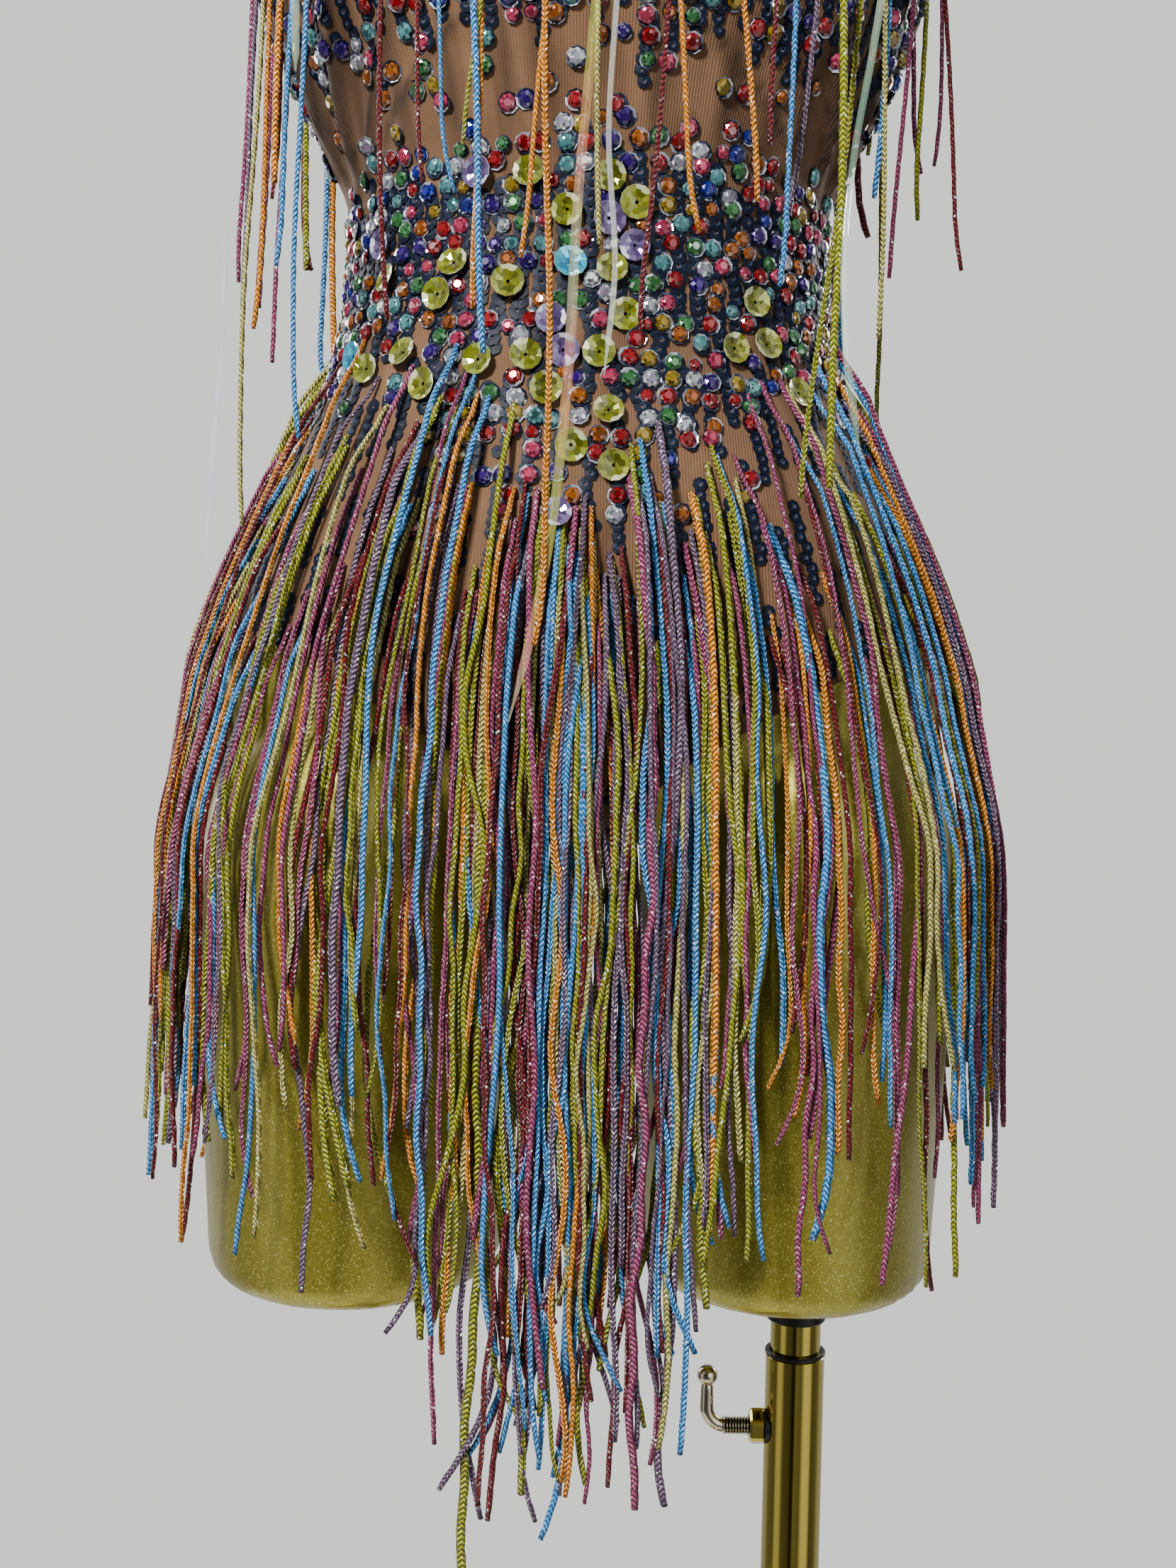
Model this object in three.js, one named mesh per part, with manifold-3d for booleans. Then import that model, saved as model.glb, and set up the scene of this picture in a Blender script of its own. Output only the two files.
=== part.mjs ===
// A fringed rhinestone bodysuit on a limbless dress form, on a clamped pole and a round plate.
// Millimetres, +Z up, front towards -Y. The origin is on the floor, under the middle of the plate.
import * as THREE from 'three';
import { mergeVertices } from 'three/addons/utils/BufferGeometryUtils.js';
import Module from 'manifold-3d';

const wasm = await Module();
wasm.setup();

// Driving dimensions of the figure and the cloth
const CLOTH_COLUMNS = 36;
const FORM_COLUMNS = 24;
const SECTION_POWER = 2.15;
const BODY_GAP = 0.9;
const CLOTH_WALL = 1.3;
const SEAM_GAP = 0.3;
const CROTCH_Z = 771;
const NECK_TOP_Z = 1452;
const ARM_PLATE_X = 152;

// Sections of the figure from the crotch up: height, half width, depth to the front and the back.
const FIGURE_SECTIONS = [
  { z: 773, halfWidth: 58, front: 40, back: 46 },
  { z: 780, halfWidth: 100, front: 62, back: 74 },
  { z: 794, halfWidth: 133, front: 80, back: 96 },
  { z: 812, halfWidth: 148, front: 90, back: 108 },
  { z: 835, halfWidth: 151, front: 94, back: 113 },
  { z: 860, halfWidth: 144, front: 95, back: 112 },
  { z: 890, halfWidth: 132, front: 94, back: 106 },
  { z: 920, halfWidth: 118, front: 90, back: 97 },
  { z: 948, halfWidth: 106, front: 86, back: 88 },
  { z: 974, halfWidth: 99, front: 82, back: 80 },
  { z: 1003, halfWidth: 96, front: 80, back: 76 },
  { z: 1035, halfWidth: 97, front: 82, back: 78 },
  { z: 1060, halfWidth: 102, front: 86, back: 82 },
  { z: 1090, halfWidth: 113, front: 95, back: 87 },
  { z: 1124, halfWidth: 125, front: 106, back: 91 },
  { z: 1155, halfWidth: 134, front: 114, back: 93 },
  { z: 1187, halfWidth: 139, front: 118, back: 95 },
  { z: 1225, halfWidth: 144, front: 112, back: 98 },
  { z: 1266, halfWidth: 150, front: 101, back: 100 },
  { z: 1305, halfWidth: 156, front: 90, back: 98 },
  { z: 1332, halfWidth: 157, front: 82, back: 92 },
  { z: 1354, halfWidth: 148, front: 74, back: 84 },
  { z: 1371, halfWidth: 130, front: 66, back: 75 },
  { z: 1384, halfWidth: 104, front: 60, back: 67 },
  { z: 1395, halfWidth: 78, front: 56, back: 61 },
  { z: 1408, halfWidth: 61, front: 52, back: 56 },
  { z: 1446, halfWidth: 55, front: 49, back: 52 },
];

// The bust: two soft rises on the front, at an angle to each side of the middle.
const BUST = { z: 1187, angle: 0.62, rise: 15, tall: 42, wide: 0.4 };
// The cloth bridges the hollows round the bust and stands this much further off there.
const BUST_BRIDGE = { z: 1215, tall: 50, gap: 1.3 };

// Ease of the cloth above the waist, where it bridges from the bust to the waist.
const EASE = { low: 1030, high: 1182, side: 10, front: 3.5 };

// Drag folds that run from the waist up to the bust, on each quarter of the body.
const DRAG_FOLDS = [
  { waistAngle: 0.0, topAngle: 0.0, topZ: 1150, rise: 2.4 },
  { waistAngle: 0.2, topAngle: 0.45, topZ: 1150, rise: 3.0 },
  { waistAngle: 0.42, topAngle: 0.9, topZ: 1128, rise: 2.4 },
];
const DRAG_FOLD_START_Z = 1028;
const DRAG_FOLD_HALF_WIDTH = 0.15;

// Thigh stumps: height, sideways place of the centre, half width and half depth.
const THIGH_SECTIONS = [
  { z: 587, centre: 91, halfWidth: 54, halfDepth: 69 },
  { z: 591, centre: 91, halfWidth: 59, halfDepth: 74 },
  { z: 600, centre: 91, halfWidth: 62, halfDepth: 77 },
  { z: 690, centre: 92.5, halfWidth: 64.5, halfDepth: 84 },
  { z: 765, centre: 93, halfWidth: 65, halfDepth: 89 },
  { z: 800, centre: 88, halfWidth: 60, halfDepth: 84 },
  { z: 835, centre: 78, halfWidth: 44, halfDepth: 64 },
];
const THIGH_COLUMNS = 20;
const THIGH_BOTTOM_Z = 587;

// Openings of the bodysuit
const LEG_OPENING_FRONT = [
  { x: 24, z: 764 },
  { x: 28, z: 790 },
  { x: 58, z: 814 },
  { x: 92, z: 833 },
  { x: 124, z: 848 },
  { x: 176, z: 858 },
];
const LEG_OPENING_BACK = [
  { x: 24, z: 764 },
  { x: 34, z: 778 },
  { x: 70, z: 790 },
  { x: 104, z: 810 },
  { x: 134, z: 840 },
  { x: 176, z: 858 },
];
const NECKLINE = { halfWidth: 66, frontZ: 1300, backZ: 1352, topZ: 1420 };
const ARMHOLE = { x: 113, z: 1322, halfDepth: 92, halfHeight: 84, sides: 32 };

// Fringe cords and the narrow tapes that carry them
const CORD_RADIUS = 1.6;
const CORD_SIDES = 3;
const TAPE = { gap: 0.8, thickness: 2.4, height: 6 };
const ROOT = { lift: 2.0, radius: 0.7, depth: 1.2, drop: 24 };
const HIP_MIDPOINT_SPAN = 45;
const HANG = { z: 792, halfWidth: 162, front: 98.5, back: 116.5, power: 3 };

// Hip rows: height at the side seam and at the middle, cords, lift off the cloth, length spread.
const HIP_ROWS = [
  { name: '1', sideZ: 978, middleZ: 914, cords: 19, lift: 11.4, sideEnd: 636, middleEnd: 520 },
  { name: '2', sideZ: 936, middleZ: 880, cords: 20, lift: 7.4, sideEnd: 662, middleEnd: 548 },
  { name: '3', sideZ: 896, middleZ: 846, cords: 18, lift: 3.6, sideEnd: 640, middleEnd: 572 },
];
// Chest rows: height, half angle from the middle, cords, lift off the cloth, end heights.
const CHEST_ROWS = [
  { name: '1', z: 1262, halfAngle: 0.86, cords: 10, lift: 7.8, sideEnd: 1010, middleEnd: 950, hangZ: 1187 },
  { name: '2', z: 1170, halfAngle: 1.4, cords: 14, lift: 3.8, sideEnd: 1004, middleEnd: 1028, hangZ: 1187 },
];
const END_SPREAD = 30;
const SWAY = 3.5;

// The pole, its clamp and the plate
const POLE_X = 98;
const TUBE_RADIUS = 12.5;
const TUBE_BORE = 11.0;
const TUBE_TOP_Z = 548.5;
const MAST_RADIUS = 10.7;
const MAST_BOTTOM_Z = 250;
const MAST_SOCKET_DEPTH = 90;
const RING = { radius: 12.9, height: 1.7 };
const COLLAR = { radius: 12.6, bottomZ: 564 };
const CLAMP_Z = 516.3;
const CLAMP_NUT = { acrossFlats: 14, outerX: 79 };
const SCREW = { threadRadius: 4, rodRadius: 2.9, ballRadius: 4.4, bendX: 60.5, ballZ: 538.2 };
const SCREW_CLEARANCE = 0.35;
const SCREW_BEND_RADIUS = 8;
const PLATE = { radius: 190, thickness: 6, edge: 1.5 };
const FLANGE = { radius: 34, foot: 5, hubRadius: 17, top: 40 };
const SMALL_GAP = 0.3;
const TURN_SIDES = 24;

const FRONT_ANGLE = -Math.PI / 2;
const group = new THREE.Group();

// Materials
function material(color, roughness, metalness) {
  return new THREE.MeshStandardMaterial({ color, roughness, metalness });
}
const CHAMPAGNE_GOLD = { color: 0x9c9139, roughness: 0.42, metalness: 0.7 };
const POLISHED_GOLD = { color: 0xb59a4a, roughness: 0.15, metalness: 1.0 };
const BLACK_PLASTIC = { color: 0x141414, roughness: 0.45, metalness: 0.0 };
const NUDE_MESH = { color: 0xb58a6c, roughness: 0.8, metalness: 0.0 };
const HIP_COLOURS = [0x74b4dc, 0xb06a92, 0xa9a62c];
const CHEST_COLOURS = [0x7c2030, 0xd98d22];
const CORD_FINISH = { roughness: 0.6, metalness: 0.1 };

function addMesh(name, geometry, finish, place = [0, 0, 0]) {
  const mesh = new THREE.Mesh(geometry, material(finish.color, finish.roughness, finish.metalness));
  mesh.name = name;
  mesh.position.set(...place);
  group.add(mesh);
  return mesh;
}

// Solids from meshes, and back
function bareGeometry(geometry) {
  const bare = geometry.clone();
  bare.deleteAttribute('normal');
  bare.deleteAttribute('uv');
  return mergeVertices(bare, 1e-4);
}

function toSolid(geometry) {
  const bare = bareGeometry(geometry);
  const vertProperties = new Float32Array(bare.attributes.position.array);
  const triVerts = new Uint32Array(bare.index.array);
  return new wasm.Manifold(new wasm.Mesh({ numProp: 3, vertProperties, triVerts }));
}

function toGeometry(solid) {
  const mesh = solid.getMesh();
  const geometry = new THREE.BufferGeometry();
  geometry.setAttribute('position', new THREE.BufferAttribute(new Float32Array(mesh.vertProperties), 3));
  geometry.setIndex(new THREE.BufferAttribute(new Uint32Array(mesh.triVerts), 1));
  geometry.computeVertexNormals();
  return geometry;
}

function closedGeometry(points, faces) {
  const geometry = new THREE.BufferGeometry();
  const flat = points.flatMap((point) => [point.x, point.y, point.z]);
  geometry.setAttribute('position', new THREE.Float32BufferAttribute(flat, 3));
  geometry.setIndex(faces.flat());
  geometry.computeVertexNormals();
  return geometry;
}

// A closed loft through rings of equal count, listed from the bottom up, each anticlockwise.
function loft(rings) {
  const count = rings[0].length;
  const points = rings.flat();
  const faces = [];
  for (let row = 0; row < rings.length - 1; row += 1) {
    for (let column = 0; column < count; column += 1) {
      const next = (column + 1) % count;
      const low = row * count;
      const high = low + count;
      faces.push([low + column, low + next, high + next]);
      faces.push([low + column, high + next, high + column]);
    }
  }
  const bottom = points.length;
  const top = bottom + 1;
  const last = (rings.length - 1) * count;
  points.push(middleOf(rings[0]));
  points.push(middleOf(rings[rings.length - 1]));
  for (let column = 0; column < count; column += 1) {
    const next = (column + 1) % count;
    faces.push([bottom, next, column]);
    faces.push([top, last + column, last + next]);
  }
  return closedGeometry(points, faces);
}

function middleOf(ring) {
  const sum = new THREE.Vector3();
  ring.forEach((point) => sum.add(point));
  return sum.divideScalar(ring.length);
}

function signedPower(value, power) {
  return Math.sign(value) * Math.abs(value) ** power;
}

function bump(distance) {
  return Math.exp(-distance * distance);
}

function smooth(low, high, value) {
  const share = Math.min(1, Math.max(0, (value - low) / (high - low)));
  return share * share * (3 - 2 * share);
}

// A point of one section at an angle; angle 0 is the viewer's right and FRONT_ANGLE the middle front.
function sectionPoint(section, angle, power = SECTION_POWER) {
  const depth = Math.sin(angle) < 0 ? section.front : section.back;
  const x = section.halfWidth * signedPower(Math.cos(angle), 2 / power);
  const y = depth * signedPower(Math.sin(angle), 2 / power);
  const point = new THREE.Vector3(x, y, section.z);
  const fromFront = angleFromFront(angle);
  const sideways = Math.abs(fromFront) - BUST.angle;
  const rise = BUST.rise * bump((section.z - BUST.z) / BUST.tall) * bump(sideways / BUST.wide);
  point.y -= Math.abs(fromFront) < Math.PI / 2 ? rise : 0;
  return point;
}

function angleFromFront(angle) {
  const turned = angle - FRONT_ANGLE;
  return Math.atan2(Math.sin(turned), Math.cos(turned));
}

// Angle from the nearer side seam, 0 at the seam and positive towards the middle front or back.
function angleFromSide(angle) {
  return Math.asin(Math.abs(Math.sin(angle)));
}

// The figure as rows of points, moved out by a distance that depends on height and angle
function columnAngles(columns) {
  return Array.from({ length: columns }, (_, column) => (column * 2 * Math.PI) / columns);
}

function outward(rows, row, column) {
  const above = rows[Math.min(row + 1, rows.length - 1)][column];
  const below = row > 0 ? rows[row - 1][column] : new THREE.Vector3(0, 0, CROTCH_Z);
  const ring = rows[row];
  const next = ring[(column + 1) % ring.length];
  const previous = ring[(column + ring.length - 1) % ring.length];
  const along = next.clone().sub(previous);
  const up = above.clone().sub(below);
  return along.cross(up).normalize();
}

function grownRings(columns, distance) {
  const angles = columnAngles(columns);
  const rows = FIGURE_SECTIONS.map((section) => angles.map((angle) => sectionPoint(section, angle)));
  return rows.map((ring, row) => ring.map((point, column) => {
    const amount = distance(FIGURE_SECTIONS[row].z, angles[column]);
    return point.clone().addScaledVector(outward(rows, row, column), amount);
  }));
}

// How far the inside of the cloth stands off the figure
function clothGap(z, angle) {
  const middle = (EASE.low + EASE.high) / 2;
  const half = (EASE.high - EASE.low) / 2;
  const share = Math.max(0, 1 - ((z - middle) / half) ** 2);
  const sideShare = Math.cos(angle) ** 2;
  const ease = share * (EASE.front + (EASE.side - EASE.front) * sideShare);
  const bridge = BUST_BRIDGE.gap * bump((z - BUST_BRIDGE.z) / BUST_BRIDGE.tall);
  return BODY_GAP + bridge + ease + dragFolds(z, angle) * Math.min(1, share * 3);
}

function dragFolds(z, angle) {
  const fromSide = angleFromSide(angle);
  return DRAG_FOLDS.reduce((sum, fold) => {
    const share = (z - DRAG_FOLD_START_Z) / (fold.topZ - DRAG_FOLD_START_Z);
    const centre = fold.waistAngle + (fold.topAngle - fold.waistAngle) * share;
    const strength = smooth(0, 0.25, share) * (1 - smooth(0.8, 1.1, share));
    return sum + fold.rise * strength * bump((fromSide - centre) / DRAG_FOLD_HALF_WIDTH);
  }, 0);
}

// A point on the cloth's outside, at an angle and a height, moved out by a lift
const clothRows = grownRings(CLOTH_COLUMNS, (z, angle) => clothGap(z, angle) + CLOTH_WALL);

function onCloth(angle, z, lift) {
  const turn = ((angle / (2 * Math.PI)) % 1 + 1) % 1;
  const place = turn * CLOTH_COLUMNS;
  const column = Math.floor(place) % CLOTH_COLUMNS;
  const next = (column + 1) % CLOTH_COLUMNS;
  const across = place - Math.floor(place);
  let row = 0;
  while (row < clothRows.length - 2 && clothRows[row + 1][column].z < z) row += 1;
  const lowZ = clothRows[row][column].z;
  const highZ = clothRows[row + 1][column].z;
  const share = Math.min(1, Math.max(0, (z - lowZ) / (highZ - lowZ)));
  const low = clothRows[row][column].clone().lerp(clothRows[row][next], across);
  const high = clothRows[row + 1][column].clone().lerp(clothRows[row + 1][next], across);
  const point = low.clone().lerp(high, share);
  const here = clothRows[row][column].clone().lerp(clothRows[row + 1][column], share);
  const there = clothRows[row][next].clone().lerp(clothRows[row + 1][next], share);
  const along = there.sub(here);
  point.add(new THREE.Vector3(along.y, -along.x, 0).normalize().multiplyScalar(lift));
  point.z = z;
  return point;
}

// The outermost place that a hanging cord has passed on its way down to a height
function overCloth(angle, topZ, z, lift) {
  const heights = Array.from({ length: 9 }, (_, step) => z + ((topZ - z) * step) / 8);
  const points = heights.map((height) => onCloth(angle, height, lift));
  const reach = points.map((point) => Math.hypot(point.x, point.y));
  return points[reach.indexOf(Math.max(...reach))].setZ(z);
}

// A block between two corners
function block(low, high) {
  const size = new THREE.Vector3().subVectors(high, low);
  const geometry = new THREE.BoxGeometry(size.x, size.y, size.z);
  geometry.translate((low.x + high.x) / 2, (low.y + high.y) / 2, (low.z + high.z) / 2);
  return toSolid(geometry);
}

function figureSolid(columns, distance) {
  const rings = grownRings(columns, distance);
  const bottomDrop = distance(CROTCH_Z, 0);
  const tip = new THREE.Vector3(0, 0, CROTCH_Z - bottomDrop);
  const tipRing = rings[0].map((point) => point.clone().lerp(tip, 0.9).setZ(tip.z));
  return toSolid(loft([tipRing, ...rings]));
}

// One thigh stump, with its round lower edge
function thighSolid(side, grow) {
  const rings = THIGH_SECTIONS.map((section) => Array.from({ length: THIGH_COLUMNS }, (_, column) => {
    const angle = (column * 2 * Math.PI) / THIGH_COLUMNS;
    const x = side * section.centre + (section.halfWidth + grow) * Math.cos(angle);
    const y = (section.halfDepth + grow) * Math.sin(angle);
    return new THREE.Vector3(x, y, section.z);
  }));
  return toSolid(loft(rings));
}

function turnedSolid(radius, lowZ, highZ, x, sides = TURN_SIDES) {
  const geometry = new THREE.CylinderGeometry(radius, radius, highZ - lowZ, sides);
  geometry.rotateX(Math.PI / 2);
  geometry.translate(x, 0, (lowZ + highZ) / 2);
  return toSolid(geometry);
}

// The dress form: torso and thighs in one, flat at the arms, with a socket for the mast
function buildDressForm() {
  const armCut = block(
    new THREE.Vector3(-ARM_PLATE_X, -200, THIGH_BOTTOM_Z - 10),
    new THREE.Vector3(ARM_PLATE_X, 200, NECK_TOP_Z + 10),
  );
  const socketTop = THIGH_BOTTOM_Z + MAST_SOCKET_DEPTH;
  const socket = turnedSolid(MAST_RADIUS + SMALL_GAP, THIGH_BOTTOM_Z - 5, socketTop, POLE_X, 24);
  const solid = figureSolid(FORM_COLUMNS, () => 0)
    .intersect(armCut)
    .add(thighSolid(-1, 0))
    .add(thighSolid(1, 0))
    .subtract(socket);
  addMesh('dress_form', toGeometry(solid), CHAMPAGNE_GOLD);
}

// A cutter below an outline drawn in front view, for one side and for the front or the back
function legCutter(outline, side, facing) {
  const shape = new THREE.Shape();
  shape.moveTo(outline[0].x, outline[0].z - 60);
  shape.lineTo(outline[0].x, outline[0].z);
  shape.splineThru(outline.slice(1).map((point) => new THREE.Vector2(point.x, point.z)));
  shape.lineTo(outline[outline.length - 1].x, outline[0].z - 60);
  const geometry = new THREE.ExtrudeGeometry(shape, { depth: 160, bevelEnabled: false, curveSegments: 3 });
  geometry.rotateX(Math.PI / 2);
  geometry.translate(0, facing < 0 ? 0 : 160, 0);
  const solid = toSolid(geometry);
  return side < 0 ? solid.mirror([1, 0, 0]) : solid;
}

// The scoop of the neckline, lower in front than at the back
function neckCutter(bottomZ, facing) {
  const shape = new THREE.Shape();
  shape.absellipse(0, NECKLINE.topZ, NECKLINE.halfWidth, NECKLINE.topZ - bottomZ, 0, 2 * Math.PI);
  const geometry = new THREE.ExtrudeGeometry(shape, { depth: 160, bevelEnabled: false, curveSegments: 12 });
  geometry.rotateX(Math.PI / 2);
  geometry.translate(0, facing < 0 ? 0 : 160, 0);
  return toSolid(geometry);
}

function armholeCutter(side) {
  const geometry = new THREE.CylinderGeometry(1, 1, 90, ARMHOLE.sides);
  geometry.rotateZ(Math.PI / 2);
  geometry.scale(1, ARMHOLE.halfHeight, ARMHOLE.halfDepth);
  geometry.rotateX(Math.PI / 2);
  geometry.translate(side * (ARMHOLE.x + 45), 0, ARMHOLE.z);
  return toSolid(geometry);
}

// The bodysuit: a thin wall round the figure, open at neck, arms and legs, in two panels
function buildBodysuit() {
  const outside = figureSolid(CLOTH_COLUMNS, (z, angle) => clothGap(z, angle) + CLOTH_WALL);
  const inside = figureSolid(CLOTH_COLUMNS, clothGap);
  let wall = outside.subtract(inside);
  wall = wall.subtract(neckCutter(NECKLINE.frontZ, -1));
  wall = wall.subtract(neckCutter(NECKLINE.backZ, 1));
  const aboveShoulders = block(new THREE.Vector3(-200, -200, 1400), new THREE.Vector3(200, 200, 1500));
  wall = wall.subtract(aboveShoulders);
  [-1, 1].forEach((side) => {
    wall = wall.subtract(legCutter(LEG_OPENING_FRONT, side, -1));
    wall = wall.subtract(legCutter(LEG_OPENING_BACK, side, 1));
    wall = wall.subtract(armholeCutter(side));
    wall = wall.subtract(thighSolid(side, 1.0));
  });
  const half = SEAM_GAP / 2;
  const frontSpace = block(new THREE.Vector3(-200, -200, 700), new THREE.Vector3(200, -half, 1500));
  const backSpace = block(new THREE.Vector3(-200, half, 700), new THREE.Vector3(200, 200, 1500));
  addMesh('suit_front', toGeometry(wall.intersect(frontSpace)), NUDE_MESH);
  addMesh('suit_back', toGeometry(wall.intersect(backSpace)), NUDE_MESH);
}

// A repeatable spread of numbers from 0 to 1
function spread(index) {
  const value = Math.sin(index * 12.9898 + 4.1414) * 43758.5453;
  return value - Math.floor(value);
}

// A narrow tape on the cloth, along a list of places with an angle and a height
function tapeSolid(places) {
  const rings = places.map((place) => {
    const low = place.z - TAPE.height / 2;
    const high = place.z + TAPE.height / 2;
    const far = TAPE.gap + TAPE.thickness;
    return [
      onCloth(place.angle, low, TAPE.gap),
      onCloth(place.angle, high, TAPE.gap),
      onCloth(place.angle, high, far),
      onCloth(place.angle, low, far),
    ];
  });
  return toSolid(loft(rings));
}

// A cord of three sides along a list of points, narrow where it goes into its tape
function cordSolid(points) {
  const rings = points.map((point, index) => {
    const radius = index === 0 ? ROOT.radius : CORD_RADIUS;
    const before = points[Math.max(0, index - 1)];
    const after = points[Math.min(points.length - 1, index + 1)];
    const along = after.clone().sub(before).normalize();
    const out = new THREE.Vector3(point.x, point.y, 0).normalize();
    const across = new THREE.Vector3().crossVectors(along, out).normalize();
    const face = new THREE.Vector3().crossVectors(across, along).normalize();
    return Array.from({ length: CORD_SIDES }, (_, side) => {
      const turn = (side * 2 * Math.PI) / CORD_SIDES;
      const offset = face.clone().multiplyScalar(Math.cos(turn) * radius);
      offset.addScaledVector(across, Math.sin(turn) * radius);
      return point.clone().add(offset);
    });
  });
  return toSolid(loft(rings));
}

// Where a cord hangs below the hips: over the widest line of hips and thighs
function hangPoint(angle, z, lift) {
  const point = sectionPoint(HANG, angle, HANG.power);
  const out = new THREE.Vector3(point.x, point.y, 0).normalize();
  point.addScaledVector(out, lift);
  point.z = z;
  return point;
}

function swayed(point, angle, amount) {
  const aside = new THREE.Vector3(-Math.sin(angle), Math.cos(angle), 0);
  return point.addScaledVector(aside, amount);
}

// The first stretch of a cord, from just inside the lower edge of its tape
function cordStart(row, angle, tapeZ) {
  return [
    onCloth(angle, tapeZ - TAPE.height / 2 + ROOT.depth, ROOT.lift),
    overCloth(angle, tapeZ, tapeZ - ROOT.drop, row.lift),
  ];
}

// A hip cord: down the cloth from its tape, over the hip, then straight down
function hipCord(row, angle, rootZ, number) {
  const middleShare = Math.abs(Math.sin(angle)) ** 1.5;
  const end = row.sideEnd + (row.middleEnd - row.sideEnd) * middleShare;
  const endZ = end + (spread(number) - 0.5) * 2 * END_SPREAD;
  const sway = (spread(number + 500) - 0.5) * 2 * SWAY;
  const overHip = (rootZ - ROOT.drop + HANG.z) / 2 + 10;
  const points = cordStart(row, angle, rootZ);
  if (rootZ - ROOT.drop - HANG.z > HIP_MIDPOINT_SPAN) points.push(overCloth(angle, rootZ, overHip, row.lift));
  points.push(hangPoint(angle, HANG.z, row.lift));
  points.push(swayed(hangPoint(angle, endZ, row.lift * 1.5), angle, sway));
  return cordSolid(points);
}

// A chest cord: over the bust or the shoulder blades, then straight down
function chestCord(row, angle, facing, number) {
  const middleShare = Math.abs(Math.sin(angle)) ** 2;
  const end = row.sideEnd + (row.middleEnd - row.sideEnd) * middleShare;
  const endZ = end + (spread(number) - 0.5) * 2 * END_SPREAD;
  const hangZ = facing < 0 ? row.hangZ : Math.max(row.hangZ, row.z - ROOT.drop);
  const hang = onCloth(angle, hangZ, row.lift);
  const sway = (spread(number + 300) - 0.5) * 2 * SWAY;
  const points = cordStart(row, angle, row.z);
  if (row.z - ROOT.drop - hangZ > 20) points.push(hang.clone());
  points.push(swayed(hang.clone().setZ(endZ), angle, sway));
  return cordSolid(points);
}

function fuse(first, others) {
  return others.reduce((sum, solid) => sum.add(solid), first);
}

// Column angles between the side seams of the front or the back, without the seams themselves
function anglesWithin(facing, halfAngle) {
  const middle = facing * (Math.PI / 2);
  const step = (2 * Math.PI) / CLOTH_COLUMNS;
  const count = Math.floor(halfAngle / step + 1e-6);
  return Array.from({ length: 2 * count + 1 }, (_, index) => middle + (index - count) * step);
}

function buildHipFringe() {
  HIP_ROWS.forEach((row, rowIndex) => {
    [-1, 1].forEach((facing) => {
      const heightAt = (angle) => row.sideZ + (row.middleZ - row.sideZ) * Math.abs(Math.sin(angle)) ** 1.3;
      const angles = anglesWithin(facing, Math.PI / 2 - 0.12);
      const first = angles[0];
      const last = angles[angles.length - 1];
      const tape = tapeSolid(angles.map((angle) => ({ angle, z: heightAt(angle) })));
      const cords = Array.from({ length: row.cords }, (_, index) => {
        const angle = first + ((last - first) * (index + 0.5)) / row.cords;
        return hipCord(row, angle, heightAt(angle), rowIndex * 100 + index + (facing + 1) * 20);
      });
      const side = facing < 0 ? 'front' : 'back';
      const finish = { color: HIP_COLOURS[rowIndex], ...CORD_FINISH };
      addMesh(`hip_fringe_${side}_${row.name}`, toGeometry(fuse(tape, cords)), finish);
    });
  });
}

function buildChestFringe() {
  CHEST_ROWS.forEach((row, rowIndex) => {
    [-1, 1].forEach((facing) => {
      const angles = anglesWithin(facing, row.halfAngle);
      const first = angles[0];
      const last = angles[angles.length - 1];
      const tape = tapeSolid(angles.map((angle) => ({ angle, z: row.z })));
      const cords = Array.from({ length: row.cords }, (_, index) => {
        const angle = first + ((last - first) * (index + 0.5)) / row.cords;
        return chestCord(row, angle, facing, 700 + rowIndex * 50 + index + (facing + 1) * 10);
      });
      const side = facing < 0 ? 'front' : 'back';
      const finish = { color: CHEST_COLOURS[rowIndex], ...CORD_FINISH };
      addMesh(`chest_fringe_${side}_${row.name}`, toGeometry(fuse(tape, cords)), finish);
    });
  });
}

// A turned solid from a closed profile of radius and height
function turned(profile, sides = TURN_SIDES) {
  const points = profile.map(([radius, z]) => new THREE.Vector2(radius, z));
  const geometry = new THREE.LatheGeometry(points, sides);
  geometry.rotateX(Math.PI / 2);
  return geometry;
}

function ringProfile(inner, outer, low, high) {
  return [[inner, low], [outer, low], [outer, high], [inner, high], [inner, low]];
}

// The pole: mast, black collar under the thigh, black ring, tube with its clamp nut
function buildPole() {
  const mastTop = THIGH_BOTTOM_Z + MAST_SOCKET_DEPTH - SMALL_GAP;
  const mast = turnedSolid(MAST_RADIUS, MAST_BOTTOM_Z, mastTop, POLE_X, 24);
  addMesh('mast', toGeometry(mast), POLISHED_GOLD);
  const collarBore = MAST_RADIUS + SMALL_GAP;
  const collarTop = THIGH_BOTTOM_Z - SMALL_GAP;
  const collar = turned(ringProfile(collarBore, COLLAR.radius, COLLAR.bottomZ, collarTop), 24);
  addMesh('mast_collar', collar, BLACK_PLASTIC, [POLE_X, 0, 0]);
  const ringLow = TUBE_TOP_Z + SMALL_GAP;
  const ring = turned(ringProfile(TUBE_BORE, RING.radius, ringLow, ringLow + RING.height), 24);
  addMesh('tube_ring', ring, BLACK_PLASTIC, [POLE_X, 0, 0]);
  const tubeLow = PLATE.thickness + SMALL_GAP;
  const bore = screwHole(TUBE_BORE - 2, TUBE_RADIUS + 4);
  const tube = turnedSolid(TUBE_RADIUS, tubeLow, TUBE_TOP_Z, POLE_X, 24)
    .subtract(turnedSolid(TUBE_BORE, tubeLow - 1, TUBE_TOP_Z + 1, POLE_X, 24))
    .subtract(bore);
  addMesh('stand_tube', toGeometry(tube), POLISHED_GOLD);
}

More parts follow.
